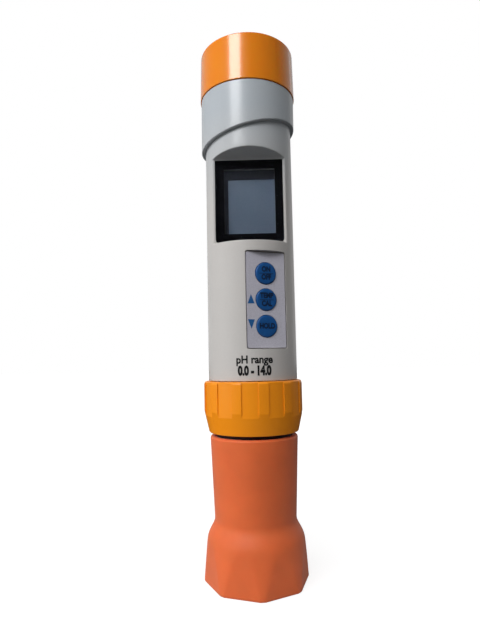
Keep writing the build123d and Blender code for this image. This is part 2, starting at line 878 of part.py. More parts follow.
# Carrier: a half shell behind the board, with four bosses for its screws
with BuildPart() as board_carrier:
    boss_points = [(side * boss_offset, z) for side in (-1, 1) for z in boss_heights]
    with BuildSketch(Plane.XZ.offset(board_back)):
        with Locations(*boss_points):
            Circle(boss_radius)
    extrude(amount=-(board_back + carrier_radius))
    with BuildSketch(Plane.XY.offset(shelf_z)):
        Circle(carrier_radius)
    extrude(amount=head_ledge_z - shelf_z, mode=Mode.INTERSECT)
    with BuildSketch(Plane.XY.offset(shelf_z)):
        Circle(carrier_radius)
        Circle(carrier_radius - carrier_wall, mode=Mode.SUBTRACT)
        with Locations((0, -board_back - tube_radius)):
            Rectangle(2 * tube_radius, 2 * tube_radius, mode=Mode.SUBTRACT)
    extrude(amount=head_ledge_z - shelf_z)
    with BuildSketch(Plane.XZ.offset(board_back)):
        with Locations(*boss_points):
            Circle(screw_radius + screw_gap)
    extrude(amount=-screw_length, mode=Mode.SUBTRACT)
write(board_carrier, "board_carrier")

# Four screws, one group
with BuildPart() as board_screws:
    with BuildSketch(Plane.XZ.offset(board_front)):
        with Locations(*boss_points):
            Circle(screw_head_radius)
    extrude(amount=screw_head_height)
    with BuildSketch(Plane.XZ.offset(board_front)):
        with Locations(*boss_points):
            Circle(screw_radius)
    extrude(amount=-screw_length)
write(board_screws, "board_screws")

# Chips and small components on the back of the board
with BuildPart() as controller_chip:
    with BuildSketch(Plane.XZ.offset(board_back)):
        with Locations((0, board_bottom + controller_rise)):
            Rectangle(controller_width, controller_width)
    extrude(amount=-controller_height)
write(controller_chip, "controller_chip")

with BuildPart() as amplifier_chip:
    with BuildSketch(Plane.XZ.offset(board_back)):
        with Locations((0, board_bottom + amplifier_rise)):
            Rectangle(amplifier_width, amplifier_width)
    extrude(amount=-amplifier_height)
write(amplifier_chip, "amplifier_chip")

with BuildPart() as board_components:
    with BuildSketch(Plane.XZ.offset(board_back)):
        with Locations((0, boss_heights[1] - chip_drop)):
            with GridLocations(chip_pitch, chip_pitch, chip_columns, chip_rows):
                Rectangle(chip_size[0], chip_size[1])
    extrude(amount=-chip_size[2])
write(board_components, "board_components")

# Socket on the lower end of the board, into which the sensor pins slide
with BuildPart() as connector_socket:
    with BuildSketch(Plane.XY.offset(socket_bottom)):
        with Locations((0, socket_depth / 2 - board_back)):
            Rectangle(socket_width, socket_depth)
        with Locations(*pin_points):
            Circle(pin_radius + pin_fit, mode=Mode.SUBTRACT)
    extrude(amount=socket_height)
write(connector_socket, "connector_socket")

# Battery tube, hung from its flange on the ledge inside the head
with BuildPart() as battery_tube:
    with BuildSketch(Plane.XY.offset(battery_tube_bottom)):
        Circle(battery_tube_radius)
    extrude(amount=battery_tube_height)
    with BuildSketch(Plane.XY.offset(head_ledge_z)):
        Circle(head_bore - battery_flange_gap)
    extrude(amount=battery_flange_height)
    with BuildSketch(Plane.XY.offset(battery_floor_z)):
        Circle(battery_tube_bore)
    extrude(amount=battery_tube_height, mode=Mode.SUBTRACT)
    with BuildSketch(Plane.XY.offset(battery_tube_bottom)):
        with Locations((side_contact_offset, -board_front - contact_thickness / 2)):
            Rectangle(side_contact_width + 2 * cell_gap, contact_thickness + 2 * cell_gap)
        Circle(contact_rivet_radius + cell_gap)
    extrude(amount=battery_tube_drop + battery_flange_height, mode=Mode.SUBTRACT)
write(battery_tube, "battery_tube")

# Lower contact: a disc under the spring, riveted through the floor to a strip with a leg to the board
strip_bottom = battery_tube_bottom - contact_thickness
leg_bottom = board_top - contact_overlap
with BuildPart() as lower_contact:
    with BuildSketch(Plane.XY.offset(battery_floor_z)):
        Circle(battery_tube_bore - cell_gap)
    extrude(amount=contact_thickness)
    with BuildSketch(Plane.XY.offset(strip_bottom)):
        Circle(contact_rivet_radius)
    extrude(amount=battery_floor_z - strip_bottom)
    with BuildSketch(Plane.XY.offset(strip_bottom)):
        Circle(contact_leg_width / 2)
        with Locations((0, -(board_front + contact_thickness) / 2)):
            Rectangle(contact_leg_width, board_front + contact_thickness)
    extrude(amount=contact_thickness)
    with BuildSketch(Plane.XZ.offset(board_front)):
        with Locations((0, (leg_bottom + battery_tube_bottom) / 2)):
            Rectangle(contact_leg_width, battery_tube_bottom - leg_bottom)
    extrude(amount=contact_thickness)
write(lower_contact, "lower_contact")

# Spring under the cells
with BuildPart() as battery_spring:
    coil_height = spring_height - 2 * spring_wire
    with BuildLine():
        coil = Helix(
            pitch=coil_height / spring_turns,
            height=coil_height,
            radius=spring_radius,
            center=(0, 0, spring_bottom + spring_wire),
        )
    with BuildSketch(Plane(origin=coil @ 0, z_dir=coil % 0)):
        Circle(spring_wire)
    sweep()
write(battery_spring, "battery_spring")

# Three button cells in a stack
for place in range(cell_count):
    with BuildPart() as cell:
        with BuildSketch(Plane.XY.offset(cell_bottom + place * cell_height)):
            Circle(cell_radius)
        extrude(amount=cell_height)
        fillet(cell.edges().filter_by(GeomType.CIRCLE), cell_edge)
    write(cell, "battery_cell_" + str(place + 1))

# Side contact: a strip from the cap contact down past the tube to the board
side_contact_bottom = board_top - contact_overlap
side_contact_top = cell_top - contact_gap
with BuildPart() as side_contact:
    with BuildSketch(Plane.XZ.offset(board_front)):
        with Locations((side_contact_offset, (side_contact_bottom + side_contact_top) / 2)):
            Rectangle(side_contact_width, side_contact_top - side_contact_bottom)
    extrude(amount=contact_thickness)
write(side_contact, "side_contact")

# Battery cap: a drafted knob with a threaded spigot, a seal land and a boss over the cells
battery_seal_radius = head_bore - seal_gap
land_groove = groove(land_radius, battery_seal_radius, battery_seal_z)
cap_skirt_radius = head_radius + battery_cap_draft
cap_ceiling = battery_cap_top - battery_cap_wall
contact_top = cell_top + contact_thickness
with BuildPart() as battery_cap:
    with BuildSketch(Plane.XZ):
        with BuildLine():
            Polyline(
                (spigot_bore, spigot_end),
                (spigot_radius, spigot_end),
                (spigot_radius, housing_top - spigot_land),
                (land_radius, housing_top - spigot_land),
                (land_radius, battery_cap_bottom),
                (cap_skirt_radius, battery_cap_bottom),
                (head_radius, battery_cap_top),
                (0, battery_cap_top),
                (0, cap_ceiling),
                (spigot_bore, cap_ceiling),
                (spigot_bore, spigot_end),
            )
        make_face()
    revolve(axis=Axis.Z)
    fillet(battery_cap.faces().sort_by(Axis.Z)[-1].edges(), battery_cap_edge)
    add(land_groove.part, mode=Mode.SUBTRACT)
    with BuildSketch(Plane.XY.offset(contact_top)):
        Circle(cap_boss_radius)
        Circle(cap_boss_radius - cap_boss_wall, mode=Mode.SUBTRACT)
    extrude(amount=cap_ceiling - contact_top)
write(battery_cap, "battery_cap")

battery_cap_seal = seal_ring(battery_seal_radius, battery_seal_z)
write(battery_cap_seal, "battery_cap_seal")

# Contact disc on the boss of the battery cap
with BuildPart() as cap_contact:
    with BuildSketch(Plane.XY.offset(cell_top)):
        Circle(cap_contact_radius)
    extrude(amount=contact_thickness)
write(cap_contact, "cap_contact")
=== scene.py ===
import json
from math import cos, degrees, radians, sin, tan

import bmesh
import bpy
from bpy.props import FloatProperty, FloatVectorProperty, IntProperty, PointerProperty
from bpy.types import Operator, Panel, PropertyGroup
from mathutils import Matrix, Vector


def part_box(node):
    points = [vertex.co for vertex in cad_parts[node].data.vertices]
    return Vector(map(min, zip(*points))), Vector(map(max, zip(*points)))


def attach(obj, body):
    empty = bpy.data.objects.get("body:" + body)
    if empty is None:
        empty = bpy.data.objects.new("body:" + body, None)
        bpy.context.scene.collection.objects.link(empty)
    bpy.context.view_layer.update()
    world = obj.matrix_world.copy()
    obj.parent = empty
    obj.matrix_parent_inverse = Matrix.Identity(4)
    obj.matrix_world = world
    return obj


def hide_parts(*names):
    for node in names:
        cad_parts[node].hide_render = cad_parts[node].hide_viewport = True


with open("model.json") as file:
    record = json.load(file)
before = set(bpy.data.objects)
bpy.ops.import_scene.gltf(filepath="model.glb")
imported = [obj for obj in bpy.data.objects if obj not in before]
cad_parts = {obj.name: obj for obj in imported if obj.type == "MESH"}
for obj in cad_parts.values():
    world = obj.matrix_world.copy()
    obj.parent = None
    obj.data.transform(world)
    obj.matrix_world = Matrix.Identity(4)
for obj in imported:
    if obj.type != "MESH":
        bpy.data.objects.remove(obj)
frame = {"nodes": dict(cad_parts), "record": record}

bl_info = {
    "name": "pH tester",
    "version": (1, 0, 0),
    "blender": (4, 5, 0),
    "location": "3D View > Sidebar > pH tester",
    "description": "Dresses the pocket pH tester: mouldings, display, keypad, lettering and finishes",
    "category": "Object",
}

MM = 0.001
SIDES = 144
TUBE_SIDES = 132
FACET_SHIFT = 1.0
KEYS = ("on_off", "temp_cal", "hold")
KEY_HOLE = 3.8
INK_LIFT = 0.005
INK_DEPTH = 0.03


# Reading the frame, in millimetres


def low(node, axis=2):
    """Lowest reach of a node along an axis."""
    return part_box(node)[0][axis] / MM


def high(node, axis=2):
    """Highest reach of a node along an axis."""
    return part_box(node)[1][axis] / MM


def key_height(name):
    """Height of the middle of a button."""
    return (low("button_" + name) + high("button_" + name)) / 2


def linear(code):
    """An sRGB hex colour as linear red, green, blue and alpha."""
    parts = [int(code[i : i + 2], 16) / 255 for i in (1, 3, 5)]
    return tuple(p / 12.92 if p <= 0.04045 else ((p + 0.055) / 1.055) ** 2.4 for p in parts) + (1.0,)


def length(name, text, default):
    """A length property with its default in millimetres."""
    return FloatProperty(name=name, description=text, default=default * MM, min=0, precision=5, unit="LENGTH")


def colour(name, text, code):
    """A colour property with its default as an sRGB hex code."""
    return FloatVectorProperty(
        name=name, description=text, default=linear(code)[:3], size=3, min=0, max=1, subtype="COLOR"
    )


class TesterSizes(PropertyGroup):
    """Sizes of the mouldings that a user would change."""

    edge: length("Moulded edge", "Rounding of the outer edges of the housing", 0.3)
    head_slant: FloatProperty(
        name="Head slant",
        description="Slope of the lower rim of the head across the front",
        default=radians(13.5),
        subtype="ANGLE",
    )
    keypad_turn: FloatProperty(
        name="Keypad turn",
        description="How far the keypad faces round to the right of the display",
        default=radians(21.2),
        subtype="ANGLE",
    )
    flat_count: IntProperty(name="Collar flats", description="Flats round the collar", default=12, min=3)
    flat_width: length("Collar flat", "Width of a flat on the collar", 5.6)
    foot_count: IntProperty(name="Foot sides", description="Sides of the foot of the storage cap", default=8, min=3)
    button_edge: length("Button edge", "Rounding of the rim of a button", 0.45)
    neck_pitch: length("Neck thread pitch", "Rise of the neck thread in one turn", 2.0)
    spigot_pitch: length("Cap thread pitch", "Rise of the battery cap thread in one turn", 1.5)
    title_size: length("Lettering", "Height of the lettering under the keypad", 2.9)


class TesterColours(PropertyGroup):
    """Colours of the pieces that a user would change."""

    body: colour("Body", "Light grey of the housing", "#C9C6C3")
    # Painted light: this cooler grey stands in for the cool cast of the light on the head.
    body_painted_cool_light: colour("Body, cooler", "Grey of the housing towards the head", "#B7BEC4")
    cap: colour("Battery cap", "Gloss orange of the battery cap", "#F68C14")
    collar: colour("Collar", "Satin orange of the collar", "#FF980C")
    storage: colour("Storage cap", "Salmon orange of the storage cap", "#DF6833")
    label: colour("Keypad label", "Lilac grey of the keypad label", "#C8C6D2")
    button: colour("Buttons", "Blue of the buttons", "#0E569A")
    ink: colour("Lettering", "Black ink on the housing", "#0C0C0E")
    display: colour("Display", "Blue grey of the display with no figures on", "#8392A8")


# Modelling by hand


def rest():
    """Leave edit mode, with nothing selected."""
    if bpy.context.mode != "OBJECT":
        bpy.ops.object.mode_set(mode="OBJECT")
    bpy.ops.object.select_all(action="DESELECT")


def take(piece):
    """Select one piece alone and make it the active one."""
    rest()
    piece.select_set(True)
    bpy.context.view_layer.objects.active = piece


def named(name):
    """Name the object just added."""
    piece = bpy.context.object
    piece.name = name
    piece.data.name = name
    return piece


def open_up(piece):
    """Open a piece for editing with all of it selected."""
    take(piece)
    bpy.ops.object.mode_set(mode="EDIT")
    bpy.ops.mesh.select_all(action="SELECT")


def pick(piece, kind, test):
    """In edit mode, select each vertex, edge or face whose middle and normal, in millimetres, pass a test."""
    bpy.ops.mesh.select_mode(type=kind)
    bpy.ops.mesh.select_all(action="DESELECT")
    shape = bmesh.from_edit_mesh(piece.data)
    parts = {"VERT": shape.verts, "EDGE": shape.edges, "FACE": shape.faces}[kind]
    for part in parts:
        corners = [part] if kind == "VERT" else part.verts
        middle = sum((corner.co for corner in corners), Vector()) / len(corners) / MM
        if test(middle, part):
            part.select_set(True)
    shape.select_flush_mode()
    bmesh.update_edit_mesh(piece.data)


def turned(name, rings, sides=SIDES):
    """Draw a ring up and out through each (radius, height) in millimetres; a radius of 0 closes the piece."""
    rest()
    shut = rings[0][0] == 0
    rings = rings[1:] if shut else rings
    fill = "TRIFAN" if shut else "NOTHING"
    bpy.ops.mesh.primitive_circle_add(vertices=sides, radius=rings[0][0] * MM, fill_type=fill)
    piece = named(name)
    open_up(piece)
    bpy.ops.transform.translate(value=(0, 0, rings[0][1] * MM))
    bpy.ops.mesh.select_mode(type="EDGE")
    if shut:
        bpy.ops.mesh.select_all(action="DESELECT")
        bpy.ops.mesh.select_non_manifold(use_wire=False, use_multi_face=False, use_non_contiguous=False)
    for (last_radius, last_height), (radius, height) in zip(rings, rings[1:]):
        bpy.ops.mesh.extrude_edges_move(TRANSFORM_OT_translate={"value": (0, 0, (height - last_height) * MM)})
        if radius:
            scale = radius / last_radius
            bpy.ops.transform.resize(value=(scale, scale, 1), center_override=(0, 0, 0))
        else:
            bpy.ops.mesh.merge(type="CENTER")
    return close_up(piece)


def close_up(piece):
    """Join what meets, turn the faces outwards and leave edit mode."""
    open_up(piece)
    bpy.ops.mesh.remove_doubles(threshold=0.0005 * MM)
    bpy.ops.mesh.normals_make_consistent(inside=False)
    rest()
    return piece


def eased(corners, steps=5):
    """A profile with its corners rounded; each corner is (radius, height) or (radius, height, rounding)."""
    path = []
    for place, corner in enumerate(corners):
        here = Vector(corner[:2])
        if len(corner) < 3:
            path.append(tuple(here))
            continue
        before = (Vector(corners[place - 1][:2]) - here).normalized()
        after = (Vector(corners[place + 1][:2]) - here).normalized()
        half = before.angle(after) / 2
        centre = here + (before + after).normalized() * corner[2] / sin(half)
        first = here + before * corner[2] / tan(half) - centre
        last = here + after * corner[2] / tan(half) - centre
        for step in range(steps + 1):
            path.append(tuple(centre + first.slerp(last, step / steps) * corner[2]))
    return path


def block(name, lowest, highest):
    """A block between two corners in millimetres."""
    rest()
    bpy.ops.mesh.primitive_cube_add(size=MM)
    piece = named(name)
    open_up(piece)
    bpy.ops.transform.resize(value=[b - a for a, b in zip(lowest, highest)], center_override=(0, 0, 0))
    bpy.ops.transform.translate(value=[(a + b) / 2 * MM for a, b in zip(lowest, highest)])
    rest()
    return piece


def round_edges(piece, test, radius, segments=4):
    """Round the edges that pass a test."""
    open_up(piece)
    pick(piece, "EDGE", test)
    bpy.ops.mesh.bevel(offset=radius * MM, segments=segments, affect="EDGES")
    rest()


def settle(piece, place=(0, 0, 0), turn=(0, 0, 0)):
    """Turn a piece by degrees and move it by millimetres, and fix both in its mesh."""
    take(piece)
    piece.location = Vector(place) * MM
    piece.rotation_euler = [radians(angle) for angle in turn]
    bpy.ops.object.transform_apply(location=True, rotation=True, scale=True)
    return piece


def copied(piece, name):
    """A copy of a piece with its own mesh."""
    take(piece)
    bpy.ops.object.duplicate(linked=False)
    return named(name)


def combine(piece, tool, operation="DIFFERENCE"):
    """Cut a tool out of a piece, or join it to it."""
    take(piece)
    modifier = piece.modifiers.new("combine", "BOOLEAN")
    modifier.solver = "EXACT"
    modifier.operation = operation
    modifier.object = tool
    bpy.ops.object.modifier_apply(modifier=modifier.name)
    bpy.data.objects.remove(tool)
    return piece


def soften(piece, width, angle=25, segments=2):
    """Round every edge sharper than an angle."""
    take(piece)
    modifier = piece.modifiers.new("soften", "BEVEL")
    modifier.width = width * MM
    modifier.segments = segments
    modifier.limit_method = "ANGLE"
    modifier.angle_limit = radians(angle)
    modifier.use_clamp_overlap = False
    bpy.ops.object.modifier_apply(modifier=modifier.name)


def smooth(piece, angle=32):
    """Shade a piece smooth up to an angle, with its broad faces kept flat."""
    take(piece)
    bpy.ops.object.shade_smooth_by_angle(angle=radians(angle))
    even = piece.modifiers.new("even", "WEIGHTED_NORMAL")
    even.keep_sharp = True
    even.weight = 80
    bpy.ops.object.modifier_apply(modifier=even.name)


def dress(piece, material, body, slot, *nodes):
    """Give a finished piece its material and the body it rides on, and hide the nodes it stands for; the slot argument
    is not used.
    """
    piece.data.materials.clear()
    piece.data.materials.append(material)
    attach(piece, body)
    if nodes:
        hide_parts(*nodes)


def key_holes(depth, middle):
    """One object with a bore for each button, lying along Z around the given middle."""
    holes = []
    for name in KEYS:
        rest()
        bpy.ops.mesh.primitive_cylinder_add(vertices=64, radius=KEY_HOLE * MM, depth=depth * MM)
        holes.append(settle(named("hole"), place=(0, key_height(name), middle)))
    return joined("holes", holes)


def text_plate(name, words, size, place, weight=0.0, thickness=0.03, stretch=1.0):
    """Letters as a thin mesh in their own plane, centred on a place in millimetres."""
    rest()
    bpy.ops.object.text_add()
    letters = bpy.context.object
    letters.data.body = words
    letters.data.size = size * MM
    letters.data.align_x = "CENTER"
    letters.data.align_y = "CENTER"
    letters.data.offset = weight * MM
    letters.data.extrude = thickness / 2 * MM
    letters.data.resolution_u = 4
    bpy.ops.object.convert(target="MESH")
    piece = named(name)
    open_up(piece)
    bpy.ops.mesh.remove_doubles(threshold=0.001 * MM)
    bpy.ops.transform.resize(value=(1, stretch, 1), center_override=(0, 0, 0))
    bpy.ops.transform.translate(value=[value * MM for value in place])
    rest()
    return piece


def joined(name, pieces):
    """Several pieces as one."""
    take(pieces[0])
    for piece in pieces:
        piece.select_set(True)
    bpy.ops.object.join()
    return named(name)


# Materials


def add_node(tree, kind, inputs=None, **settings):
    """Add a node with its settings, values and links."""
    made = tree.nodes.new(kind)
    for name, value in settings.items():
        setattr(made, name, value)
    for place, value in (inputs or {}).items():
        if isinstance(value, bpy.types.NodeSocket):
            tree.links.new(value, made.inputs[place])
        else:
            made.inputs[place].default_value = value
    return made


def rgba(value):
    """A colour property or hex code as four numbers."""
    return linear(value) if isinstance(value, str) else tuple(value) + (1.0,)


def finish(
    name,
    colours,
    roughness,
    mottle=3.0,
    grain=0.4,
    height=0.01,
    stretch=(1, 1, 1),
    spread=0.08,
    **surface,
):
    """A surface that drifts between two colours over the mottle, with a fine grain; sizes in millimetres."""
    material = bpy.data.materials.new(name)
    material.use_nodes = True
    tree = material.node_tree
    tree.nodes.clear()
    place = add_node(tree, "ShaderNodeTexCoord").outputs["Object"]
    laid = add_node(tree, "ShaderNodeMapping", {"Vector": place, "Scale": stretch}).outputs[0]
    clouds = add_node(
        tree, "ShaderNodeTexNoise", {"Vector": laid, "Scale": 1 / (mottle * MM), "Detail": 3.0}
    ).outputs["Fac"]
    fine = add_node(
        tree, "ShaderNodeTexNoise", {"Vector": laid, "Scale": 1 / (grain * MM), "Detail": 2.0}
    ).outputs["Fac"]
    blend = add_node(
        tree, "ShaderNodeMapRange", {"Value": clouds, "From Min": 0.35, "From Max": 0.65}
    ).outputs[0]
    tint = add_node(
        tree,
        "ShaderNodeMix",
        {"Factor": blend, 6: rgba(colours[0]), 7: rgba(colours[1])},
        data_type="RGBA",
    ).outputs[2]
    rough = add_node(
        tree,
        "ShaderNodeMapRange",
        {"Value": fine, "To Min": max(roughness - spread, 0.02), "To Max": min(roughness + spread, 1)},
    ).outputs[0]
    bump = add_node(
        tree, "ShaderNodeBump", {"Height": fine, "Strength": 0.6, "Distance": height * MM}
    ).outputs[0]
    inputs = {"Base Color": tint, "Roughness": rough, "Normal": bump}
    inputs.update(surface)
    shader = add_node(tree, "ShaderNodeBsdfPrincipled", inputs)
    add_node(tree, "ShaderNodeOutputMaterial", {"Surface": shader.outputs[0]})
    return material


def tinted(material, make_colour):
    """Rework the base colour of a finish: make_colour takes the tree, the place and the colour so far."""
    tree = material.node_tree
    shader = next(made for made in tree.nodes if made.type == "BSDF_PRINCIPLED")
    place = next(made for made in tree.nodes if made.type == "TEX_COORD").outputs["Object"]
    socket = shader.inputs["Base Color"]
    before = socket.links[0].from_socket
    tree.links.new(make_colour(tree, place, before), socket)
    return material


def housing_abs():
    """Moulded ABS in light grey: a low sheen with a very fine spark grain."""
    c = bpy.context.scene.tester_colours
    material = finish(
        "housing_moulded_abs", (c.body, c.body), 0.25, mottle=9, grain=0.35, height=0.006, spread=0.05
    )

    # Painted light: the grey blends to a cooler tint between 125 and 160 mm, standing in for the cool cast of the
    # light on the head; the specks vary the tone at random.
    def painted_cool_light_above(tree, place, before):
        height = add_node(tree, "ShaderNodeSeparateXYZ", {0: place}).outputs[2]
        share = add_node(
            tree, "ShaderNodeMapRange", {"Value": height, "From Min": 0.125, "From Max": 0.16}
        ).outputs[0]
        mixed = add_node(
            tree, "ShaderNodeMix", {"Factor": share, 6: before, 7: rgba(c.body_painted_cool_light)}, data_type="RGBA"
        )
        specks = add_node(tree, "ShaderNodeTexNoise", {"Vector": place, "Scale": 1 / (0.7 * MM)}).outputs["Fac"]
        level = add_node(
            tree, "ShaderNodeMapRange", {"Value": specks, "To Min": 0.965, "To Max": 1.02}
        ).outputs[0]
        return add_node(
            tree, "ShaderNodeVectorMath", {0: mixed.outputs[2], 1: level}, operation="MULTIPLY"
        ).outputs[0]

    return tinted(material, painted_cool_light_above)


def cap_abs():
    """Gloss ABS in orange: polished in the mould, so it mirrors the lamps in one tall streak."""
    c = bpy.context.scene.tester_colours
    return finish(
        "cap_gloss_abs",
        (c.cap, c.cap),
        0.24,
        mottle=6,
        grain=0.5,
        height=0.002,
        spread=0.03,
        **{
            "Coat Weight": 0.8,
            "Coat Roughness": 0.13,
            "Subsurface Weight": 0.2,
            "Subsurface Radius": (2.0, 0.6, 0.2),
            "Subsurface Scale": 0.001,
        },
    )


def collar_abs():
    """Satin ABS in orange, a little lighter than the cap."""
    c = bpy.context.scene.tester_colours
    return finish("collar_satin_abs", (c.collar, c.collar), 0.36, mottle=5, grain=0.4, height=0.006, spread=0.05)


def storage_rubbery_pp():
    """Polypropylene blend in salmon: matt and slightly waxy, light creeps a little way into it."""
    c = bpy.context.scene.tester_colours
    lighter = tuple(min(value * 1.12, 1) for value in c.storage)
    return finish(
        "storage_matt_polypropylene",
        (c.storage, lighter),
        0.56,
        mottle=14,
        grain=0.5,
        height=0.012,
        spread=0.06,
        **{
            "Subsurface Weight": 0.2,
            "Subsurface Radius": (2.0, 0.6, 0.3),
            "Subsurface Scale": 0.001,
            "Sheen Weight": 0.15,
            "Sheen Roughness": 0.5,
        },
    )


def label_polyester():
    """Printed polyester overlay in lilac grey: flat, with a fine dark speckle in the ink."""
    c = bpy.context.scene.tester_colours
    material = finish("label_printed_polyester", (c.label, c.label), 0.42, mottle=2, grain=0.3, height=0.004)

    def speckled(tree, place, before):
        dots = add_node(tree, "ShaderNodeTexNoise", {"Vector": place, "Scale": 1 / (0.35 * MM), "Detail": 1.0})
        level = add_node(
            tree,
            "ShaderNodeMapRange",
            {"Value": dots.outputs["Fac"], "From Min": 0.3, "From Max": 0.7, "To Min": 0.9, "To Max": 1.06},
        ).outputs[0]
        return add_node(tree, "ShaderNodeVectorMath", {0: before, 1: level}, operation="MULTIPLY").outputs[0]

    return tinted(material, speckled)


def button_rubber():
    """Blue silicone keys: soft satin, a little dust in the grain."""
    c = bpy.context.scene.tester_colours
    darker = tuple(value * 0.86 for value in c.button)
    return finish("button_blue_silicone", (c.button, darker), 0.42, mottle=1.6, grain=0.3, height=0.005)


def printing_ink(name, shade, second):
    """Pad-printed ink: opaque and slightly glossier than what it lies on."""
    return finish(name, (shade, second), 0.38, mottle=0.8, grain=0.2, height=0.002)


def display_glass():
    """A display with no figures on: blue-grey polariser, lighter at the top and darker towards the foot as painted
    light and shade, pixels just felt.
    """
    c = bpy.context.scene.tester_colours
    material = finish("display_polariser", (c.display, c.display), 0.3, mottle=5, grain=0.4, height=0.001)

    # Painted light and shade: the colour is scaled from 0.86 at the foot up to 1.04 at the top.
    def painted_shade_below(tree, place, before):
        height = add_node(tree, "ShaderNodeSeparateXYZ", {0: place}).outputs[2]
        share = add_node(
            tree,
            "ShaderNodeMapRange",
            {"Value": height, "From Min": 0.117, "From Max": 0.137, "To Min": 0.86, "To Max": 1.04},
        ).outputs[0]
        rows = add_node(
            tree,
            "ShaderNodeTexWave",
            {"Vector": place, "Scale": 1 / (1.2 * MM) / 3.14},
            bands_direction="Z",
        ).outputs["Fac"]
        faint = add_node(tree, "ShaderNodeMapRange", {"Value": rows, "To Min": 0.985, "To Max": 1.0}).outputs[0]
        level = add_node(tree, "ShaderNodeMath", {0: share, 1: faint}, operation="MULTIPLY").outputs[0]
        return add_node(tree, "ShaderNodeVectorMath", {0: before, 1: level}, operation="MULTIPLY").outputs[0]

    return tinted(material, painted_shade_below)


def clear_acrylic():
    """Injection-moulded acrylic: water clear with a polished face."""
    return finish(
        "window_clear_acrylic",
        ("#F4F7FA", "#EEF2F6"),
        0.03,
        mottle=8,
        grain=2,
        height=0.0005,
        spread=0.01,
        **{"Transmission Weight": 1.0, "IOR": 1.49},
    )


def bulb_glass():
    """Blown electrode glass: thin, clear, faintly green."""
    return finish(
        "electrode_blown_glass",
        ("#E6F2EC", "#DDEDE6"),
        0.02,
        mottle=5,
        grain=1,
        height=0.001,
        spread=0.01,
        **{"Transmission Weight": 0.95, "IOR": 1.5},
    )


def striped_rubber():
    """Contact rubber: thin black and pale layers laid across the strip, 0.25 mm each so that they show."""
    material = finish("contact_layered_rubber", ("#2A2A2C", "#232325"), 0.6, mottle=1, grain=0.2, height=0.004)

    def layered(tree, place, before):
        bands = add_node(
            tree, "ShaderNodeTexWave", {"Vector": place, "Scale": 1 / (0.5 * MM) / 6.28}, bands_direction="X"
        ).outputs["Fac"]
        return add_node(
            tree, "ShaderNodeMix", {"Factor": bands, 6: before, 7: linear("#8D8D90")}, data_type="RGBA"
        ).outputs[2]

    return tinted(material, layered)


def board_laminate():
    """Glass-epoxy board under green solder mask: copper runs show as a lighter green grid."""
    material = finish("board_green_laminate", ("#0F5A30", "#0B4A27"), 0.34, mottle=2, grain=0.3, height=0.004)

    def tracked(tree, place, before):
        runs = add_node(
            tree,
            "ShaderNodeTexBrick",
            {"Vector": place, "Scale": 1 / (3.0 * MM), "Mortar Size": 0.035, "Color1": (0, 0, 0, 1),
             "Color2": (0, 0, 0, 1), "Mortar": (1, 1, 1, 1)},
        ).outputs["Color"]
        return add_node(
            tree, "ShaderNodeMix", {"Factor": runs, 6: before, 7: linear("#2E8A55")}, data_type="RGBA"
        ).outputs[2]

    return tinted(material, tracked)


def sponge_foam():
    """Open-cell foam: pale yellow, with the shade inside its pores, about 0.8 mm across, painted in as darker spots.
    """
    material = finish("storage_open_foam", ("#E2D48C", "#D8C878"), 0.9, mottle=3, grain=0.5, height=0.15)

    # Painted shade: each Voronoi cell is darkened down to 0.45 near its middle in place of the shadow inside a pore.
    def painted_pore_shade(tree, place, before):
        cells = add_node(tree, "ShaderNodeTexVoronoi", {"Vector": place, "Scale": 1 / (0.9 * MM)}).outputs["Distance"]
        level = add_node(
            tree, "ShaderNodeMapRange", {"Value": cells, "From Min": 0.1, "From Max": 0.4, "To Min": 0.45}
        ).outputs[0]
        return add_node(tree, "ShaderNodeVectorMath", {0: before, 1: level}, operation="MULTIPLY").outputs[0]

    return tinted(material, painted_pore_shade)


BRUSHED = {"Metallic": 1.0}

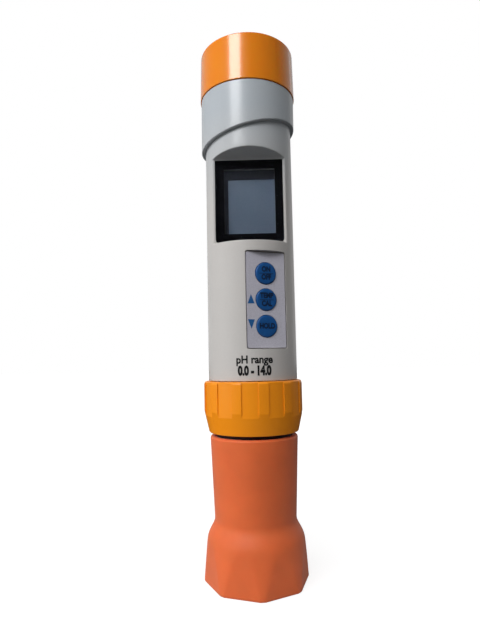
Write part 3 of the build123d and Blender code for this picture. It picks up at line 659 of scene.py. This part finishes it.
# Finishes of the nodes that stay, by material slot
INNER_FINISHES = {
    # Black ink on clear film: deep and even
    "border_print": lambda: finish(
        "border_screen_ink", ("#0D0D14", "#101018"), 0.35, grain=0.3, height=0.001, **{"Specular IOR Level": 0.04}
    ),
    # Black ABS, spark-eroded: dull
    "frame_plastic": lambda: finish(
        "frame_black_abs", ("#3A3C45", "#42444E"), 0.6, grain=0.3, height=0.01, **{"Specular IOR Level": 0.2}
    ),
    # Black nylon: a soft shine on the switch bodies
    "switch_plastic": lambda: finish("switch_black_nylon", ("#1B1B1E", "#242428"), 0.5, grain=0.3, height=0.01),
    # Tin over copper: bright, softly clouded
    "tinned_copper": lambda: finish(
        "lead_tinned_copper", ("#C9C8C2", "#B4B2AA"), 0.28, mottle=0.8, grain=0.2, height=0.004, **BRUSHED
    ),
    # Natural ABS: off-white and satin
    "carrier_plastic": lambda: finish("carrier_natural_abs", ("#C8C5BC", "#BDB9AF"), 0.48, grain=0.4, height=0.01),
    # Zinc-plated steel: cool with a yellow drift
    "screw_steel": lambda: finish(
        "screw_zinc_plate", ("#B9BCC0", "#C4C0B0"), 0.32, mottle=0.9, grain=0.2, height=0.004, **BRUSHED
    ),
    # Filled epoxy: charcoal with a fine tooth
    "chip_epoxy": lambda: finish("chip_moulded_epoxy", ("#1A1A1C", "#222224"), 0.55, mottle=1, grain=0.2),
    # Fired ceramic: tan and dull
    "component_ceramic": lambda: finish(
        "component_fired_ceramic", ("#8C7355", "#A08868"), 0.5, mottle=0.6, grain=0.2
    ),
    # Nickel over spring steel, rolled along the strip
    "contact_metal": lambda: finish(
        "contact_nickel_plate", ("#C3BFB4", "#B0ACA0"), 0.25, mottle=1.2, grain=0.25, height=0.004,
        stretch=(1, 1, 0.15), **BRUSHED
    ),
    # Stainless cell cans: drawn, with fine rings round the axis
    "cell_steel": lambda: finish(
        "cell_drawn_stainless", ("#C8C9CA", "#B7B8BA"), 0.24, mottle=4, grain=0.25, height=0.003,
        stretch=(0.2, 0.2, 1), **BRUSHED
    ),
    # Black nitrile: dull with a dusty bloom
    "seal_rubber": lambda: finish("seal_black_nitrile", ("#161617", "#222223"), 0.62, mottle=1.5, grain=0.3),
    # Black glass-filled polypropylene: matt, a little cloudy
    "sensor_plastic": lambda: finish(
        "sensor_filled_polypropylene", ("#222326", "#2B2C30"), 0.46, mottle=2.5, grain=0.4, height=0.01
    ),
    # Gold flash on brass
    "pin_gold": lambda: finish(
        "pin_gold_flash", ("#D9B25F", "#C99F4A"), 0.24, mottle=0.7, grain=0.2, height=0.003, **BRUSHED
    ),
    # Silver wire with a grey chloride coat
    "wire_silver": lambda: finish(
        "wire_chlorided_silver", ("#B7B2B5", "#7E7A80"), 0.4, mottle=1, grain=0.15, **BRUSHED
    ),
    # Stainless thimble, drawn lengthwise
    "probe_steel": lambda: finish(
        "probe_drawn_stainless", ("#C6C8CA", "#AEB0B3"), 0.26, mottle=2, grain=0.2, height=0.003,
        stretch=(1, 1, 0.15), **BRUSHED
    ),
    # Porous ceramic plug: chalky
    "junction_ceramic": lambda: finish(
        "junction_porous_ceramic", ("#E8E4DA", "#D5CFC2"), 0.85, mottle=0.7, grain=0.15, height=0.03
    ),
    "contact_rubber": striped_rubber,
    "board_laminate": board_laminate,
    "lcd_glass": display_glass,
    "electrode_glass": bulb_glass,
    "window_clear": clear_acrylic,
    "housing_plastic": housing_abs,
    "cap_plastic": cap_abs,
    "collar_plastic": collar_abs,
    "storage_plastic": storage_rubbery_pp,
    "label_print": label_polyester,
    "button_plastic": button_rubber,
    "sponge_foam": sponge_foam,
}


def material_of(slot):
    """The finish of a slot, made once."""
    key = "tester_" + slot
    known = bpy.data.materials.get(bpy.context.scene.get(key, ""))
    if known is None:
        known = INNER_FINISHES[slot]()
        bpy.context.scene[key] = known.name
    return known


# The pieces


class TESTER_OT_housing(Operator):
    """Mould the housing: tube, slanted head, display recess, keypad pocket and bores"""

    bl_idname = "tester.housing"
    bl_label = "Housing"

    def execute(self, context):
        s = context.scene.tester_sizes
        edge = s.edge / MM
        keypad = degrees(s.keypad_turn)
        foot, top = low("main_housing"), high("main_housing")
        head = high("main_housing", 0)
        tube, bore, neck = 15.5, 13.5, 13.6
        shoulder, shelf, ledge, rim = 67.1, 70.1, 158.0, 153.0
        housing = turned("moulded_housing", eased([
            (12.0, foot),
            (neck, foot, 0.3),
            (neck, shoulder),
            (tube, shoulder, edge),
            (tube, 76.4),
            (tube, 111.9),
            (tube, 147.0),
            (tube, ledge),
            (bore, ledge),
            (bore, shelf),
            (12.0, shelf),
            (12.0, foot),
        ]), TUBE_SIDES)
        settle(housing, turn=(0, 0, 180 / TUBE_SIDES))

        ring = turned("head_ring", eased([
            (14.3, rim),
            (head, rim, 0.4),
            (head, top, edge),
            (14.3, top, 0.2),
            (14.3, rim),
        ]))
        settle(ring, turn=(0, 0, FACET_SHIFT))
        open_up(ring)
        pick(ring, "VERT", lambda middle, part: middle.z < rim + 0.5)
        lean = 1 / cos(s.head_slant)
        pivot = (0, 0, rim * MM)
        bpy.ops.transform.rotate(value=s.head_slant, orient_axis="Y", center_override=pivot)
        bpy.ops.transform.resize(value=(lean, 1, lean), center_override=pivot)
        rest()
        combine(housing, ring, "UNION")

        wall = turned("display_wall", [(0, 112.7), (14.5, 112.7), (14.5, 144.8), (0, 144.8)])
        settle(wall, turn=(0, 0, FACET_SHIFT))
        open_up(wall)
        bpy.ops.mesh.bisect(plane_co=(0, -6.45 * MM, 0), plane_no=(0, 1, 0), use_fill=True, clear_outer=True)
        rest()
        combine(housing, close_up(wall), "UNION")
        outwards = Vector((sin(s.keypad_turn), -cos(s.keypad_turn), 0))
        wall = turned("keypad_wall", [(0, 76.3), (14.4, 76.3), (14.4, 111.2), (0, 111.2)])
        settle(wall, turn=(0, 0, -FACET_SHIFT))
        open_up(wall)
        bpy.ops.mesh.bisect(plane_co=outwards * 11.9 * MM, plane_no=outwards, use_fill=True, clear_inner=True)
        rest()
        combine(housing, close_up(wall), "UNION")

        recess_low, recess_high, recess_floor = 113.9, 143.6, 9.0
        lip_slope, ledge_slope = tan(radians(3.5)), tan(radians(15.8))
        recess = block("recess", (-17, recess_low, recess_floor), (17, recess_high, 17))
        open_up(recess)
        pick(recess, "VERT", lambda middle, part: middle.z > 16 and middle.y > 140)
        bpy.ops.transform.translate(value=(0, 8 * ledge_slope * MM, 0))
        pick(recess, "VERT", lambda middle, part: middle.z > 16 and middle.y < 120)
        bpy.ops.transform.translate(value=(0, -8 * lip_slope * MM, 0))
        rest()
        combine(housing, settle(recess, turn=(90, 0, 0)))
        pocket = block("pocket", (-11.8, 113.99, 7.65), (11.8, 143.51, 9.5))
        for corner, radius in ((113.99, 1.4), (143.51, 0.4)):
            round_edges(
                pocket,
                lambda middle, part: abs(middle.y - corner) < 0.01 and abs(abs(middle.x) - 11.8) < 0.01,
                radius,
                6,
            )
        combine(housing, settle(pocket, turn=(90, 0, 0)))
        combine(housing, settle(block("aperture", (-8.6, 117.4, 4), (9.0, 140.4, 8)), turn=(90, 0, 0)))

        key_side, key_low, key_high = 7.2, 77.5, 110
        pocket = block("keypad_pocket", (-key_side, key_low, 12.9), (key_side, key_high, 17))

        def pocket_corner(middle, part):
            off_end = min(abs(middle.y - key_low), abs(middle.y - key_high))
            return abs(abs(middle.x) - key_side) < 0.01 and off_end < 0.01

        round_edges(pocket, pocket_corner, 0.8)
        combine(housing, settle(pocket, turn=(90, 0, keypad)))
        combine(housing, settle(key_holes(5, 12.5), turn=(90, 0, keypad)))

        open_up(housing)
        bpy.ops.mesh.remove_doubles(threshold=0.001 * MM)
        across = Vector((cos(s.keypad_turn), sin(s.keypad_turn), 0))

        def on_tube(middle, part, lowest, highest):
            ends = [corner.co / MM for corner in part.verts]
            outside = min(end.xy.length for end in ends) > tube - 0.03 and middle.xy.length < tube + 0.03
            return outside and all(lowest < end.z < highest for end in ends)

        def display_lip(middle, part):
            depth = -middle.y - recess_floor
            on_ledge = depth > -0.01 and abs(middle.z - recess_high - depth * ledge_slope) < 0.02
            on_lip = depth > -0.01 and abs(middle.z - recess_low + depth * lip_slope) < 0.02
            return on_tube(middle, part, 113, 147) and (on_ledge or on_lip or abs(depth) < 0.02)

        def keypad_lip(middle, part):
            side = abs(middle.dot(across))
            height = min(abs(middle.z - key_low), abs(middle.z - key_high))
            rim = abs(side - key_side) < 0.02 or height < 0.02
            rim = rim or (side > 6.35 and height < 0.85 and part.calc_length() < 0.8 * MM)
            return on_tube(middle, part, 77.4, 110.1) and middle.dot(outwards) > 13 and side < 7.25 and rim

        for lip, weight in ((display_lip, 1), (keypad_lip, 0.25)):
            pick(housing, "EDGE", lip)
            bpy.ops.transform.edge_bevelweight(value=weight)
        rest()
        take(housing)
        rounded = housing.modifiers.new("rounded", "BEVEL")
        rounded.width = s.edge
        rounded.segments = 3
        rounded.limit_method = "WEIGHT"
        rounded.use_clamp_overlap = False
        rounded.loop_slide = False
        bpy.ops.object.modifier_apply(modifier=rounded.name)
        smooth(housing, 30)
        dress(housing, material_of("housing_plastic"), "housing", "housing_plastic", "main_housing")
        return {"FINISHED"}


class TESTER_OT_battery_cap(Operator):
    """Turn the gloss battery cap with its spigot, seal land and inner boss"""

    bl_idname = "tester.battery_cap"
    bl_label = "Battery cap"

    def execute(self, context):
        top = high("battery_cap")
        foot = low("battery_cap")
        skirt = high("battery_cap", 0)
        crown = high("main_housing", 0)
        seam = high("main_housing") + 0.1
        seal = (low("battery_cap_seal") + high("battery_cap_seal")) / 2
        land = high("battery_cap_seal", 0) - 0.12
        groove = high("battery_cap_seal", 0) - 1.25
        ceiling = top - 2.2
        boss = high("cap_contact")
        profile = eased([
            (0, ceiling),
            (4.0, ceiling),
            (4.0, boss),
            (5.6, boss, 0.2),
            (5.6, ceiling, 0.4),
            (land - 2.15, ceiling, 0.6),
            (land - 2.15, foot),
            (land - 0.45, foot, 0.3),
            (land - 0.45, seam - 3.0),
            (land, seam - 3.0, 0.15),
            (land, seal - 0.85),
            (groove, seal - 0.85),
            (groove, seal + 0.85),
            (land, seal + 0.85),
            (land, seam),
            (skirt, seam, 0.16),
            (crown, top, 0.6),
            (0, top),
        ])
        cap = turned("gloss_battery_cap", profile)
        smooth(cap)
        dress(cap, material_of("cap_plastic"), "battery_cap", "cap_plastic", "battery_cap")
        return {"FINISHED"}


class TESTER_OT_collar(Operator):
    """Turn the collar and cut its recessed flats"""

    bl_idname = "tester.collar"
    bl_label = "Sensor collar"

    def execute(self, context):
        s = context.scene.tester_sizes
        foot = low("sensor_collar")
        top = high("sensor_collar")
        radius = high("sensor_collar", 0)
        flange = foot + 1.9
        profile = eased([
            (13.1, foot),
            (radius - 1.67, foot, 0.4),
            (radius, foot + 7.3, 1.2),
            (radius, top, 1.0),
            (14.3, top, 0.25),
            (14.3, flange),
            (13.1, flange),
            (13.1, foot),
        ], 10)
        collar = turned("grip_collar", profile, SIDES + 48)
        flat = radius - 0.32
        recesses = turned(
            "recesses",
            [(flat, foot - 1), (flat, top + 1), (radius + 1, top + 1), (radius + 1, foot - 1), (flat, foot - 1)],
            SIDES + 48,
        )
        settle(recesses, turn=(0, 0, FACET_SHIFT))
        half = s.flat_width / MM / 2
        bar = block("bar", (flat - 1, -half, foot - 2), (radius + 2, half, top + 2))
        bars = []
        for place in range(s.flat_count):
            bars.append(settle(copied(bar, "bar"), turn=(0, 0, 26.3 + 360 / s.flat_count * place)))
        bpy.data.objects.remove(bar)
        combine(recesses, joined("bars", bars), "INTERSECT")
        combine(collar, recesses)
        soften(collar, 0.1, angle=20)
        smooth(collar, 11)
        dress(collar, material_of("collar_plastic"), "sensor_collar", "collar_plastic", "sensor_collar")
        return {"FINISHED"}


class TESTER_OT_storage_cap(Operator):
    """Turn the storage cap and press its foot into eight soft sides"""

    bl_idname = "tester.storage_cap"
    bl_label = "Storage cap"

    def execute(self, context):
        s = context.scene.tester_sizes
        top = high("storage_cap")
        waist, waist_z = 14.0, 20.8
        shoulder, shoulder_z = 16.7, 13.4
        foot, flat = 17.85, 16.72
        rim, bore = 15.2, 12.88
        cone_rings = (2.0, 3.3, 4.6, 5.9, 7.2, 8.5, 9.6, 10.6, 11.5, 12.3)
        cone = [(foot + (shoulder - foot) * z / shoulder_z, z) for z in cone_rings]
        flare = []
        drop = waist_z - shoulder_z
        pulls = (
            (shoulder, shoulder_z),
            (shoulder - 0.4, shoulder_z + 0.46 * drop),
            (waist, waist_z - 0.35 * drop),
            (waist, waist_z),
        )
        for step in range(15):
            t = step / 14
            share = ((1 - t) ** 3, 3 * t * (1 - t) ** 2, 3 * t * t * (1 - t), t**3)
            flare.append(tuple(sum(w * p[axis] for w, p in zip(share, pulls)) for axis in (0, 1)))
        well = flat - 3.1
        taper = 39.45
        profile = (
            [(0, 0), (foot - 0.75, 0), (foot - 0.3, 0.12), (foot - 0.1, 0.45), (foot - 0.07, 0.9)]
            + cone
            + flare
            + [(waist + (rim - waist) * (z - waist_z) / (top - waist_z), z) for z in range(24, 48, 4)]
            + eased([
                (15.1, 46),
                (rim, top, 0.8),
                (bore, top, 0.8),
                (bore, taper),
                (12.2, taper - 10.65),
                (12.2, 19.3, 1.0),
                (well, 11.9, 1.0),
                (well, 2.6, 0.5),
                (0, 2.6),
            ])
        )
        cap = turned("soft_storage_cap", profile, 256)
        open_up(cap)
        for side in range(s.foot_count):
            turn = 360 / s.foot_count * (side + 0.5) + 5.7
            rest()
            settle(cap, turn=(0, 0, -turn))
            open_up(cap)
            steps = ((flat - 0.65, -1, 0.05), (flat - 0.2, 0.05, 0.3), (flat, 0.3, shoulder_z + 0.5))
            for reach, bottom, ceiling in steps:
                pick(cap, "VERT", lambda middle, vert: middle.x > reach and bottom < middle.z < ceiling)
                bpy.ops.transform.resize(value=(0, 1, 1), center_override=(reach * MM, 0, 0))
            rest()
            settle(cap, turn=(0, 0, turn))
        open_up(cap)
        pick(cap, "VERT", lambda middle, vert: middle.xy.length > 15.5 and 0.5 < middle.z < 14.5)
        bpy.ops.mesh.vertices_smooth(factor=0.5, repeat=2)
        rest()
        smooth(cap, 40)
        dress(cap, material_of("storage_plastic"), "storage_cap", "storage_plastic", "storage_cap")
        return {"FINISHED"}


class TESTER_OT_sponge(Operator):
    """Shape the damp sponge in the well of the storage cap"""

    bl_idname = "tester.sponge"
    bl_label = "Sponge"

    def execute(self, context):
        radius = high("storage_sponge", 0)
        foot = low("storage_sponge")
        top = high("storage_sponge")
        profile = [(0, foot), (radius - 3, foot)] + eased([
            (radius - 1, foot),
            (radius, foot, 0.8),
            (radius, top - 0.5, 1.1),
            (radius - 4, top - 0.1),
        ]) + [(radius - 7, top - 0.02), (radius - 10, top), (0, top)]
        sponge = turned("foam_sponge", profile, 96)
        open_up(sponge)
        pick(sponge, "VERT", lambda middle, vert: middle.z > foot + 0.6)
        bpy.ops.mesh.vertices_smooth(factor=0.5, repeat=1)
        rest()
        smooth(sponge, 60)
        dress(sponge, material_of("sponge_foam"), "storage_cap", "sponge_foam", "storage_sponge")
        return {"FINISHED"}


class TESTER_OT_window(Operator):
    """Make the clear window with its larger corners below"""

    bl_idname = "tester.window"
    bl_label = "Display window"

    def execute(self, context):
        side = high("display_window", 0)
        bottom, top = low("display_window"), high("display_window")
        face, back = -low("display_window", 1), -high("display_window", 1)
        window = block("clear_window", (-side, bottom, back), (side, top, face))
        for corner_z, radius in ((bottom, 1.3), (top, 0.3)):
            round_edges(
                window,
                lambda middle, edge: abs(middle.y - corner_z) < 0.01 and abs(abs(middle.x) - side) < 0.01,
                radius,
                6,
            )
        soften(window, 0.1, angle=50)
        smooth(window)
        settle(window, turn=(90, 0, 0))
        dress(window, material_of("window_clear"), "housing", "window_clear", "display_window")
        return {"FINISHED"}


class TESTER_OT_keypad(Operator):
    """Make the keypad label with its button openings and two arrows"""

    bl_idname = "tester.keypad"
    bl_label = "Keypad label"

    def execute(self, context):
        s = context.scene.tester_sizes
        turn = degrees(s.keypad_turn)
        bottom, top = low("keypad_label"), high("keypad_label")
        label = block("key_label", (-6.85, bottom, 12.9), (6.85, top, 13.7))

        def label_corner(middle, edge):
            return abs(abs(middle.x) - 6.85) < 0.01 and abs(middle.z - 13.3) < 0.01

        round_edges(label, label_corner, 0.5)
        combine(label, key_holes(2, 13.55))
        soften(label, 0.06, angle=50)
        smooth(label)
        settle(label, turn=(90, 0, turn))
        dress(label, material_of("label_print"), "housing", "label_print", "keypad_label")
        arrows = []
        for middle_z, tip in ((93.75, 1), (85.85, -1)):
            rest()
            bpy.ops.mesh.primitive_circle_add(vertices=3, radius=1.62 * MM, fill_type="NGON")
            arrow = named("arrow")
            open_up(arrow)
            bpy.ops.transform.resize(value=(0.86, 1.28 * tip, 1), center_override=(0, 0, 0))
            bpy.ops.mesh.extrude_region_move(TRANSFORM_OT_translate={"value": (0, 0, 0.02 * MM)})
            rest()
            arrows.append(settle(arrow, place=(-5.4, middle_z - 0.3 * tip, 13.705)))
        arrows = close_up(joined("key_arrows", arrows))
        settle(arrows, turn=(90, 0, turn))
        blue = printing_ink("arrow_blue_ink", "#1F5FA0", "#24649F")
        dress(arrows, blue, "housing", "label_print")
        return {"FINISHED"}


class TESTER_OT_buttons(Operator):
    """Make the three soft buttons with their words"""

    bl_idname = "tester.buttons"
    bl_label = "Buttons"

    def execute(self, context):
        s = context.scene.tester_sizes
        turn = degrees(s.keypad_turn)
        front = 14.2
        profile = [(0, front), (1.2, front)] + eased([
            (2.4, front - 0.02),
            (3.65, front - 0.06, s.button_edge / MM),
            (3.65, 11.85),
            (4.15, 11.85, 0.1),
            (4.15, 11.15, 0.1),
            (1.4, 11.15),
            (1.4, 10.6, 0.1),
            (0.6, 10.6),
        ]) + [(0, 10.6)]
        model = turned("button_model", profile, 72)
        smooth(model)
        navy = printing_ink("key_navy_ink", "#0A1E3A", "#0C2240")
        words = {
            "on_off": (("ON", 1.28), ("OFF", -1.35)),
            "temp_cal": (("TEMP", 1.28), ("CAL", -1.35)),
            "hold": (("HOLD", 0.0),),
        }
        for name, lines in words.items():
            height = key_height(name)
            button = settle(copied(model, "soft_" + name), place=(0, 0, height), turn=(90, 0, turn))
            dress(button, material_of("button_plastic"), "button_" + name, "button_plastic", "button_" + name)
            marks = []
            for word, rise in lines:
                place = (0, rise, front + INK_LIFT)
                marks.append(text_plate("word", word, 1.95, place, 0.095, INK_DEPTH, 1.25))
            if len(lines) > 1:
                marks.append(block("bar", (-2.5, -0.18, front - 0.01), (2.5, 0.02, front + 0.02)))
            marks = joined("words_" + name, marks)
            settle(marks, place=(0, 0, height), turn=(90, 0, turn))
            dress(marks, navy, "button_" + name, "button_plastic")
        bpy.data.objects.remove(model)
        return {"FINISHED"}


class TESTER_OT_lettering(Operator):
    """Print two plain lines on the housing under the keypad"""

    bl_idname = "tester.lettering"
    bl_label = "Lettering"

    def execute(self, context):
        s = context.scene.tester_sizes
        c = context.scene.tester_colours
        size = s.title_size / MM
        lines = [
            text_plate("line", "pH range", size * 1.1, (0, 74.0, 16.4), 0.1, 0, 1.1),
            text_plate("line", "0.0 - 14.0", size * 0.97, (0, 70.4, 16.4), 0.17, 0, 1.45),
        ]
        words = joined("range_lettering", lines)
        open_up(words)
        bpy.ops.mesh.subdivide(number_cuts=3)
        rest()
        settle(words, place=(0.62, 0, 0), turn=(90, 0, 0))
        take(words)
        wrap = words.modifiers.new("wrap", "SHRINKWRAP")
        wrap.target = frame["nodes"]["main_housing"]
        wrap.wrap_method = "PROJECT"
        wrap.use_project_x = False
        wrap.use_project_y = True
        wrap.use_project_z = False
        wrap.use_positive_direction = True
        wrap.use_negative_direction = False
        wrap.offset = 0.03 * MM
        bpy.ops.object.modifier_apply(modifier=wrap.name)
        close_flat(words)
        dress(words, printing_ink("housing_black_ink", c.ink, "#101013"), "housing", "housing_plastic")
        return {"FINISHED"}


def close_flat(piece):
    """Turn every face of a printed piece away from the axis."""
    open_up(piece)
    shape = bmesh.from_edit_mesh(piece.data)
    turned_in = [face for face in shape.faces if face.normal.xy.dot(face.calc_center_median().xy) < 0]
    bpy.ops.mesh.select_all(action="DESELECT")
    for face in turned_in:
        face.select_set(True)
    bmesh.update_edit_mesh(piece.data)
    if turned_in:
        bpy.ops.mesh.flip_normals()
    rest()


class TESTER_OT_threads(Operator):
    """Wind the threads on the neck and on the battery cap"""

    bl_idname = "tester.threads"
    bl_label = "Threads"

    def execute(self, context):
        s = context.scene.tester_sizes
        neck = low("main_housing")
        spigot = low("battery_cap")
        for name, root, bottom, pitch, turns, body, slot in (
            ("neck_thread", 13.5, neck + 1.8, s.neck_pitch / MM, 4, "housing", "housing_plastic"),
            ("cap_thread", 13.6, spigot + 0.7, s.spigot_pitch / MM, 2, "battery_cap", "cap_plastic"),
        ):
            rest()
            bpy.ops.mesh.primitive_circle_add(vertices=4, radius=pitch * 0.32 * MM)
            thread = named(name)
            open_up(thread)
            bpy.ops.transform.resize(value=(0.55 / (pitch * 0.32), 1, 1), center_override=(0, 0, 0))
            rest()
            settle(thread, turn=(90, 0, 0))
            settle(thread, place=(root, 0, bottom))
            take(thread)
            wind = thread.modifiers.new("wind", "SCREW")
            wind.axis = "Z"
            wind.screw_offset = pitch * MM
            wind.iterations = turns
            wind.steps = 64
            wind.render_steps = 64
            bpy.ops.object.modifier_apply(modifier=wind.name)
            open_up(thread)
            bpy.ops.mesh.fill_holes(sides=0)
            rest()
            close_up(thread)
            for end_z in (bottom, bottom + pitch * turns):
                open_up(thread)
                pick(
                    thread,
                    "VERT",
                    lambda middle, vert: abs(middle.z - end_z) < pitch * 0.35 and abs(middle.y) < 0.2 and middle.x > 0,
                )
                bpy.ops.transform.resize(value=(0.965, 1, 1), center_override=(0, 0, 0))
                rest()
            smooth(thread, 50)
            dress(thread, material_of(slot), body, slot)
        return {"FINISHED"}


class TESTER_OT_inner_finishes(Operator):
    """Give every node that stays its material"""

    bl_idname = "tester.inner_finishes"
    bl_label = "Inner finishes"

    def execute(self, context):
        for row in frame["record"]["subparts"]:
            piece = frame["nodes"][row["node"]]
            for place in piece.material_slots:
                place.material = material_of(row["material_slot"])
        return {"FINISHED"}


class TESTER_OT_stage(Operator):
    """Set the floor, the lamps, the surround and the camera"""

    bl_idname = "tester.stage"
    bl_label = "Stage"

    def execute(self, context):
        rest()
        bpy.ops.mesh.primitive_plane_add(size=8)
        floor = named("floor")
        paper = bpy.data.materials.new("floor_matt_paper")
        paper.use_nodes = True
        tree = paper.node_tree
        tree.nodes.clear()
        ray = add_node(tree, "ShaderNodeLightPath").outputs["Is Camera Ray"]
        place = add_node(tree, "ShaderNodeTexCoord").outputs["Object"]
        distance = add_node(tree, "ShaderNodeVectorMath", {0: place}, operation="LENGTH").outputs["Value"]
        level = add_node(
            tree,
            "ShaderNodeMapRange",
            {"Value": distance, "From Min": 0.03, "From Max": 0.25, "To Min": 0.84, "To Max": 1.0},
        ).outputs[0]
        seen = add_node(tree, "ShaderNodeEmission", {"Color": (1, 1, 1, 1), "Strength": level})
        shaded = add_node(tree, "ShaderNodeBsdfDiffuse", {"Color": (0.3, 0.3, 0.3, 1)})
        bounce = add_node(
            tree,
            "ShaderNodeMapRange",
            {"Value": distance, "From Min": 0.05, "From Max": 0.11, "To Min": 0.4, "To Max": 0.08},
        ).outputs[0]
        dull = add_node(tree, "ShaderNodeBsdfDiffuse", {"Color": bounce})
        both = add_node(tree, "ShaderNodeAddShader", {0: seen.outputs[0], 1: shaded.outputs[0]})
        mixed = add_node(tree, "ShaderNodeMixShader", {0: ray, 1: dull.outputs[0], 2: both.outputs[0]})
        add_node(tree, "ShaderNodeOutputMaterial", {"Surface": mixed.outputs[0]})
        floor.data.materials.append(paper)

        world = bpy.data.worlds.new("studio")
        context.scene.world = world
        world.use_nodes = True
        tree = world.node_tree
        tree.nodes.clear()
        rays = add_node(tree, "ShaderNodeLightPath")
        direction = add_node(tree, "ShaderNodeTexCoord").outputs["Generated"]
        away = add_node(tree, "ShaderNodeSeparateXYZ", {0: direction}).outputs[1]
        mirrored = add_node(
            tree,
            "ShaderNodeMapRange",
            {"Value": away, "From Min": -0.1, "From Max": 0.9, "To Min": 0.02, "To Max": 0.6},
        ).outputs[0]
        plain = add_node(tree, "ShaderNodeMix", {"Factor": rays.outputs["Is Glossy Ray"], 2: 0.3, 3: mirrored}).outputs[0]
        behind_glass = add_node(
            tree,
            "ShaderNodeMapRange",
            {"Value": away, "From Min": 0.0, "From Max": 0.7, "To Min": 0.02, "To Max": 0.4},
        ).outputs[0]
        clear = rays.outputs["Is Transmission Ray"]
        unseen = add_node(tree, "ShaderNodeMix", {"Factor": clear, 2: plain, 3: behind_glass}).outputs[0]
        seen = rays.outputs["Is Camera Ray"]
        strength = add_node(tree, "ShaderNodeMix", {"Factor": seen, 2: unseen, 3: 1.0}).outputs[0]
        surround = add_node(tree, "ShaderNodeBackground", {"Color": (1, 1, 1, 1), "Strength": strength})
        add_node(tree, "ShaderNodeOutputWorld", {"Surface": surround.outputs[0]})

        for name, azimuth, elevation, distance, size, power, diffuse, mirrored in (
            ("side_window", -72, 18, 0.9, (0.8, 0.9), 5.1, True, False),
            ("front_softbox", -25, 38, 0.8, (0.5, 0.34), 3.6, True, False),
            ("tall_streak", -28, 42, 0.8, (0.3, 0.36), 2.9, False, True),
            ("rear_strip", 136, 15, 0.8, (0.05, 0.8), 0.06, True, True),
        ):
            a, e = radians(azimuth), radians(elevation)
            aim = Vector((0, 0, 0.11))
            back = Vector((sin(a) * cos(e), -cos(a) * cos(e), sin(e)))
            bpy.ops.object.light_add(type="AREA", location=aim + back * distance)
            lamp = bpy.context.object
            lamp.name = name
            lamp.rotation_euler = (-back).to_track_quat("-Z", "Y").to_euler()
            lamp.data.shape = "RECTANGLE"
            lamp.data.size, lamp.data.size_y = size
            lamp.data.energy = power
            lamp.visible_diffuse = diffuse
            lamp.visible_glossy = mirrored

        turn = Matrix.Rotation(radians(1.40), 4, "Z")
        tilt = Matrix.Rotation(radians(94.90), 4, "X")
        roll = Matrix.Rotation(radians(-1.08), 4, "Z")
        bpy.ops.object.camera_add(location=(0, -0.1709, 0.0733), rotation=(turn @ tilt @ roll).to_euler())
        camera = bpy.context.object
        camera.data.sensor_width = 36
        camera.data.lens = 481 / 642 * 36
        camera.data.clip_start = 0.01
        context.scene.camera = camera
        context.scene.view_settings.view_transform = "Standard"
        return {"FINISHED"}


class TESTER_PT_panel(Panel):
    """Sidebar panel with every step of the making"""

    bl_idname = "TESTER_PT_panel"
    bl_label = "pH tester"
    bl_space_type = "VIEW_3D"
    bl_region_type = "UI"
    bl_category = "pH tester"

    def draw(self, context):
        for group in (context.scene.tester_sizes, context.scene.tester_colours):
            box = self.layout.box()
            for name in group.__annotations__:
                box.prop(group, name)
        for step in STEPS:
            self.layout.operator(step.bl_idname)


STEPS = (
    TESTER_OT_stage,
    TESTER_OT_inner_finishes,
    TESTER_OT_housing,
    TESTER_OT_window,
    TESTER_OT_keypad,
    TESTER_OT_buttons,
    TESTER_OT_lettering,
    TESTER_OT_battery_cap,
    TESTER_OT_collar,
    TESTER_OT_storage_cap,
    TESTER_OT_sponge,
    TESTER_OT_threads,
)
CLASSES = (TesterSizes, TesterColours, *STEPS, TESTER_PT_panel)


def register():
    """Make the classes and properties known to Blender."""
    for kind in CLASSES:
        bpy.utils.register_class(kind)
    bpy.types.Scene.tester_sizes = PointerProperty(type=TesterSizes)
    bpy.types.Scene.tester_colours = PointerProperty(type=TesterColours)


def unregister():
    """Take the classes and properties away again."""
    del bpy.types.Scene.tester_colours
    del bpy.types.Scene.tester_sizes
    for kind in reversed(CLASSES):
        bpy.utils.unregister_class(kind)


def main():
    """Make the whole tester."""
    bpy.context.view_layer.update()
    register()
    for step in STEPS:
        group, action = step.bl_idname.split(".")
        getattr(getattr(bpy.ops, group), action)()
        rest()


if __name__ == "__main__":
    main()
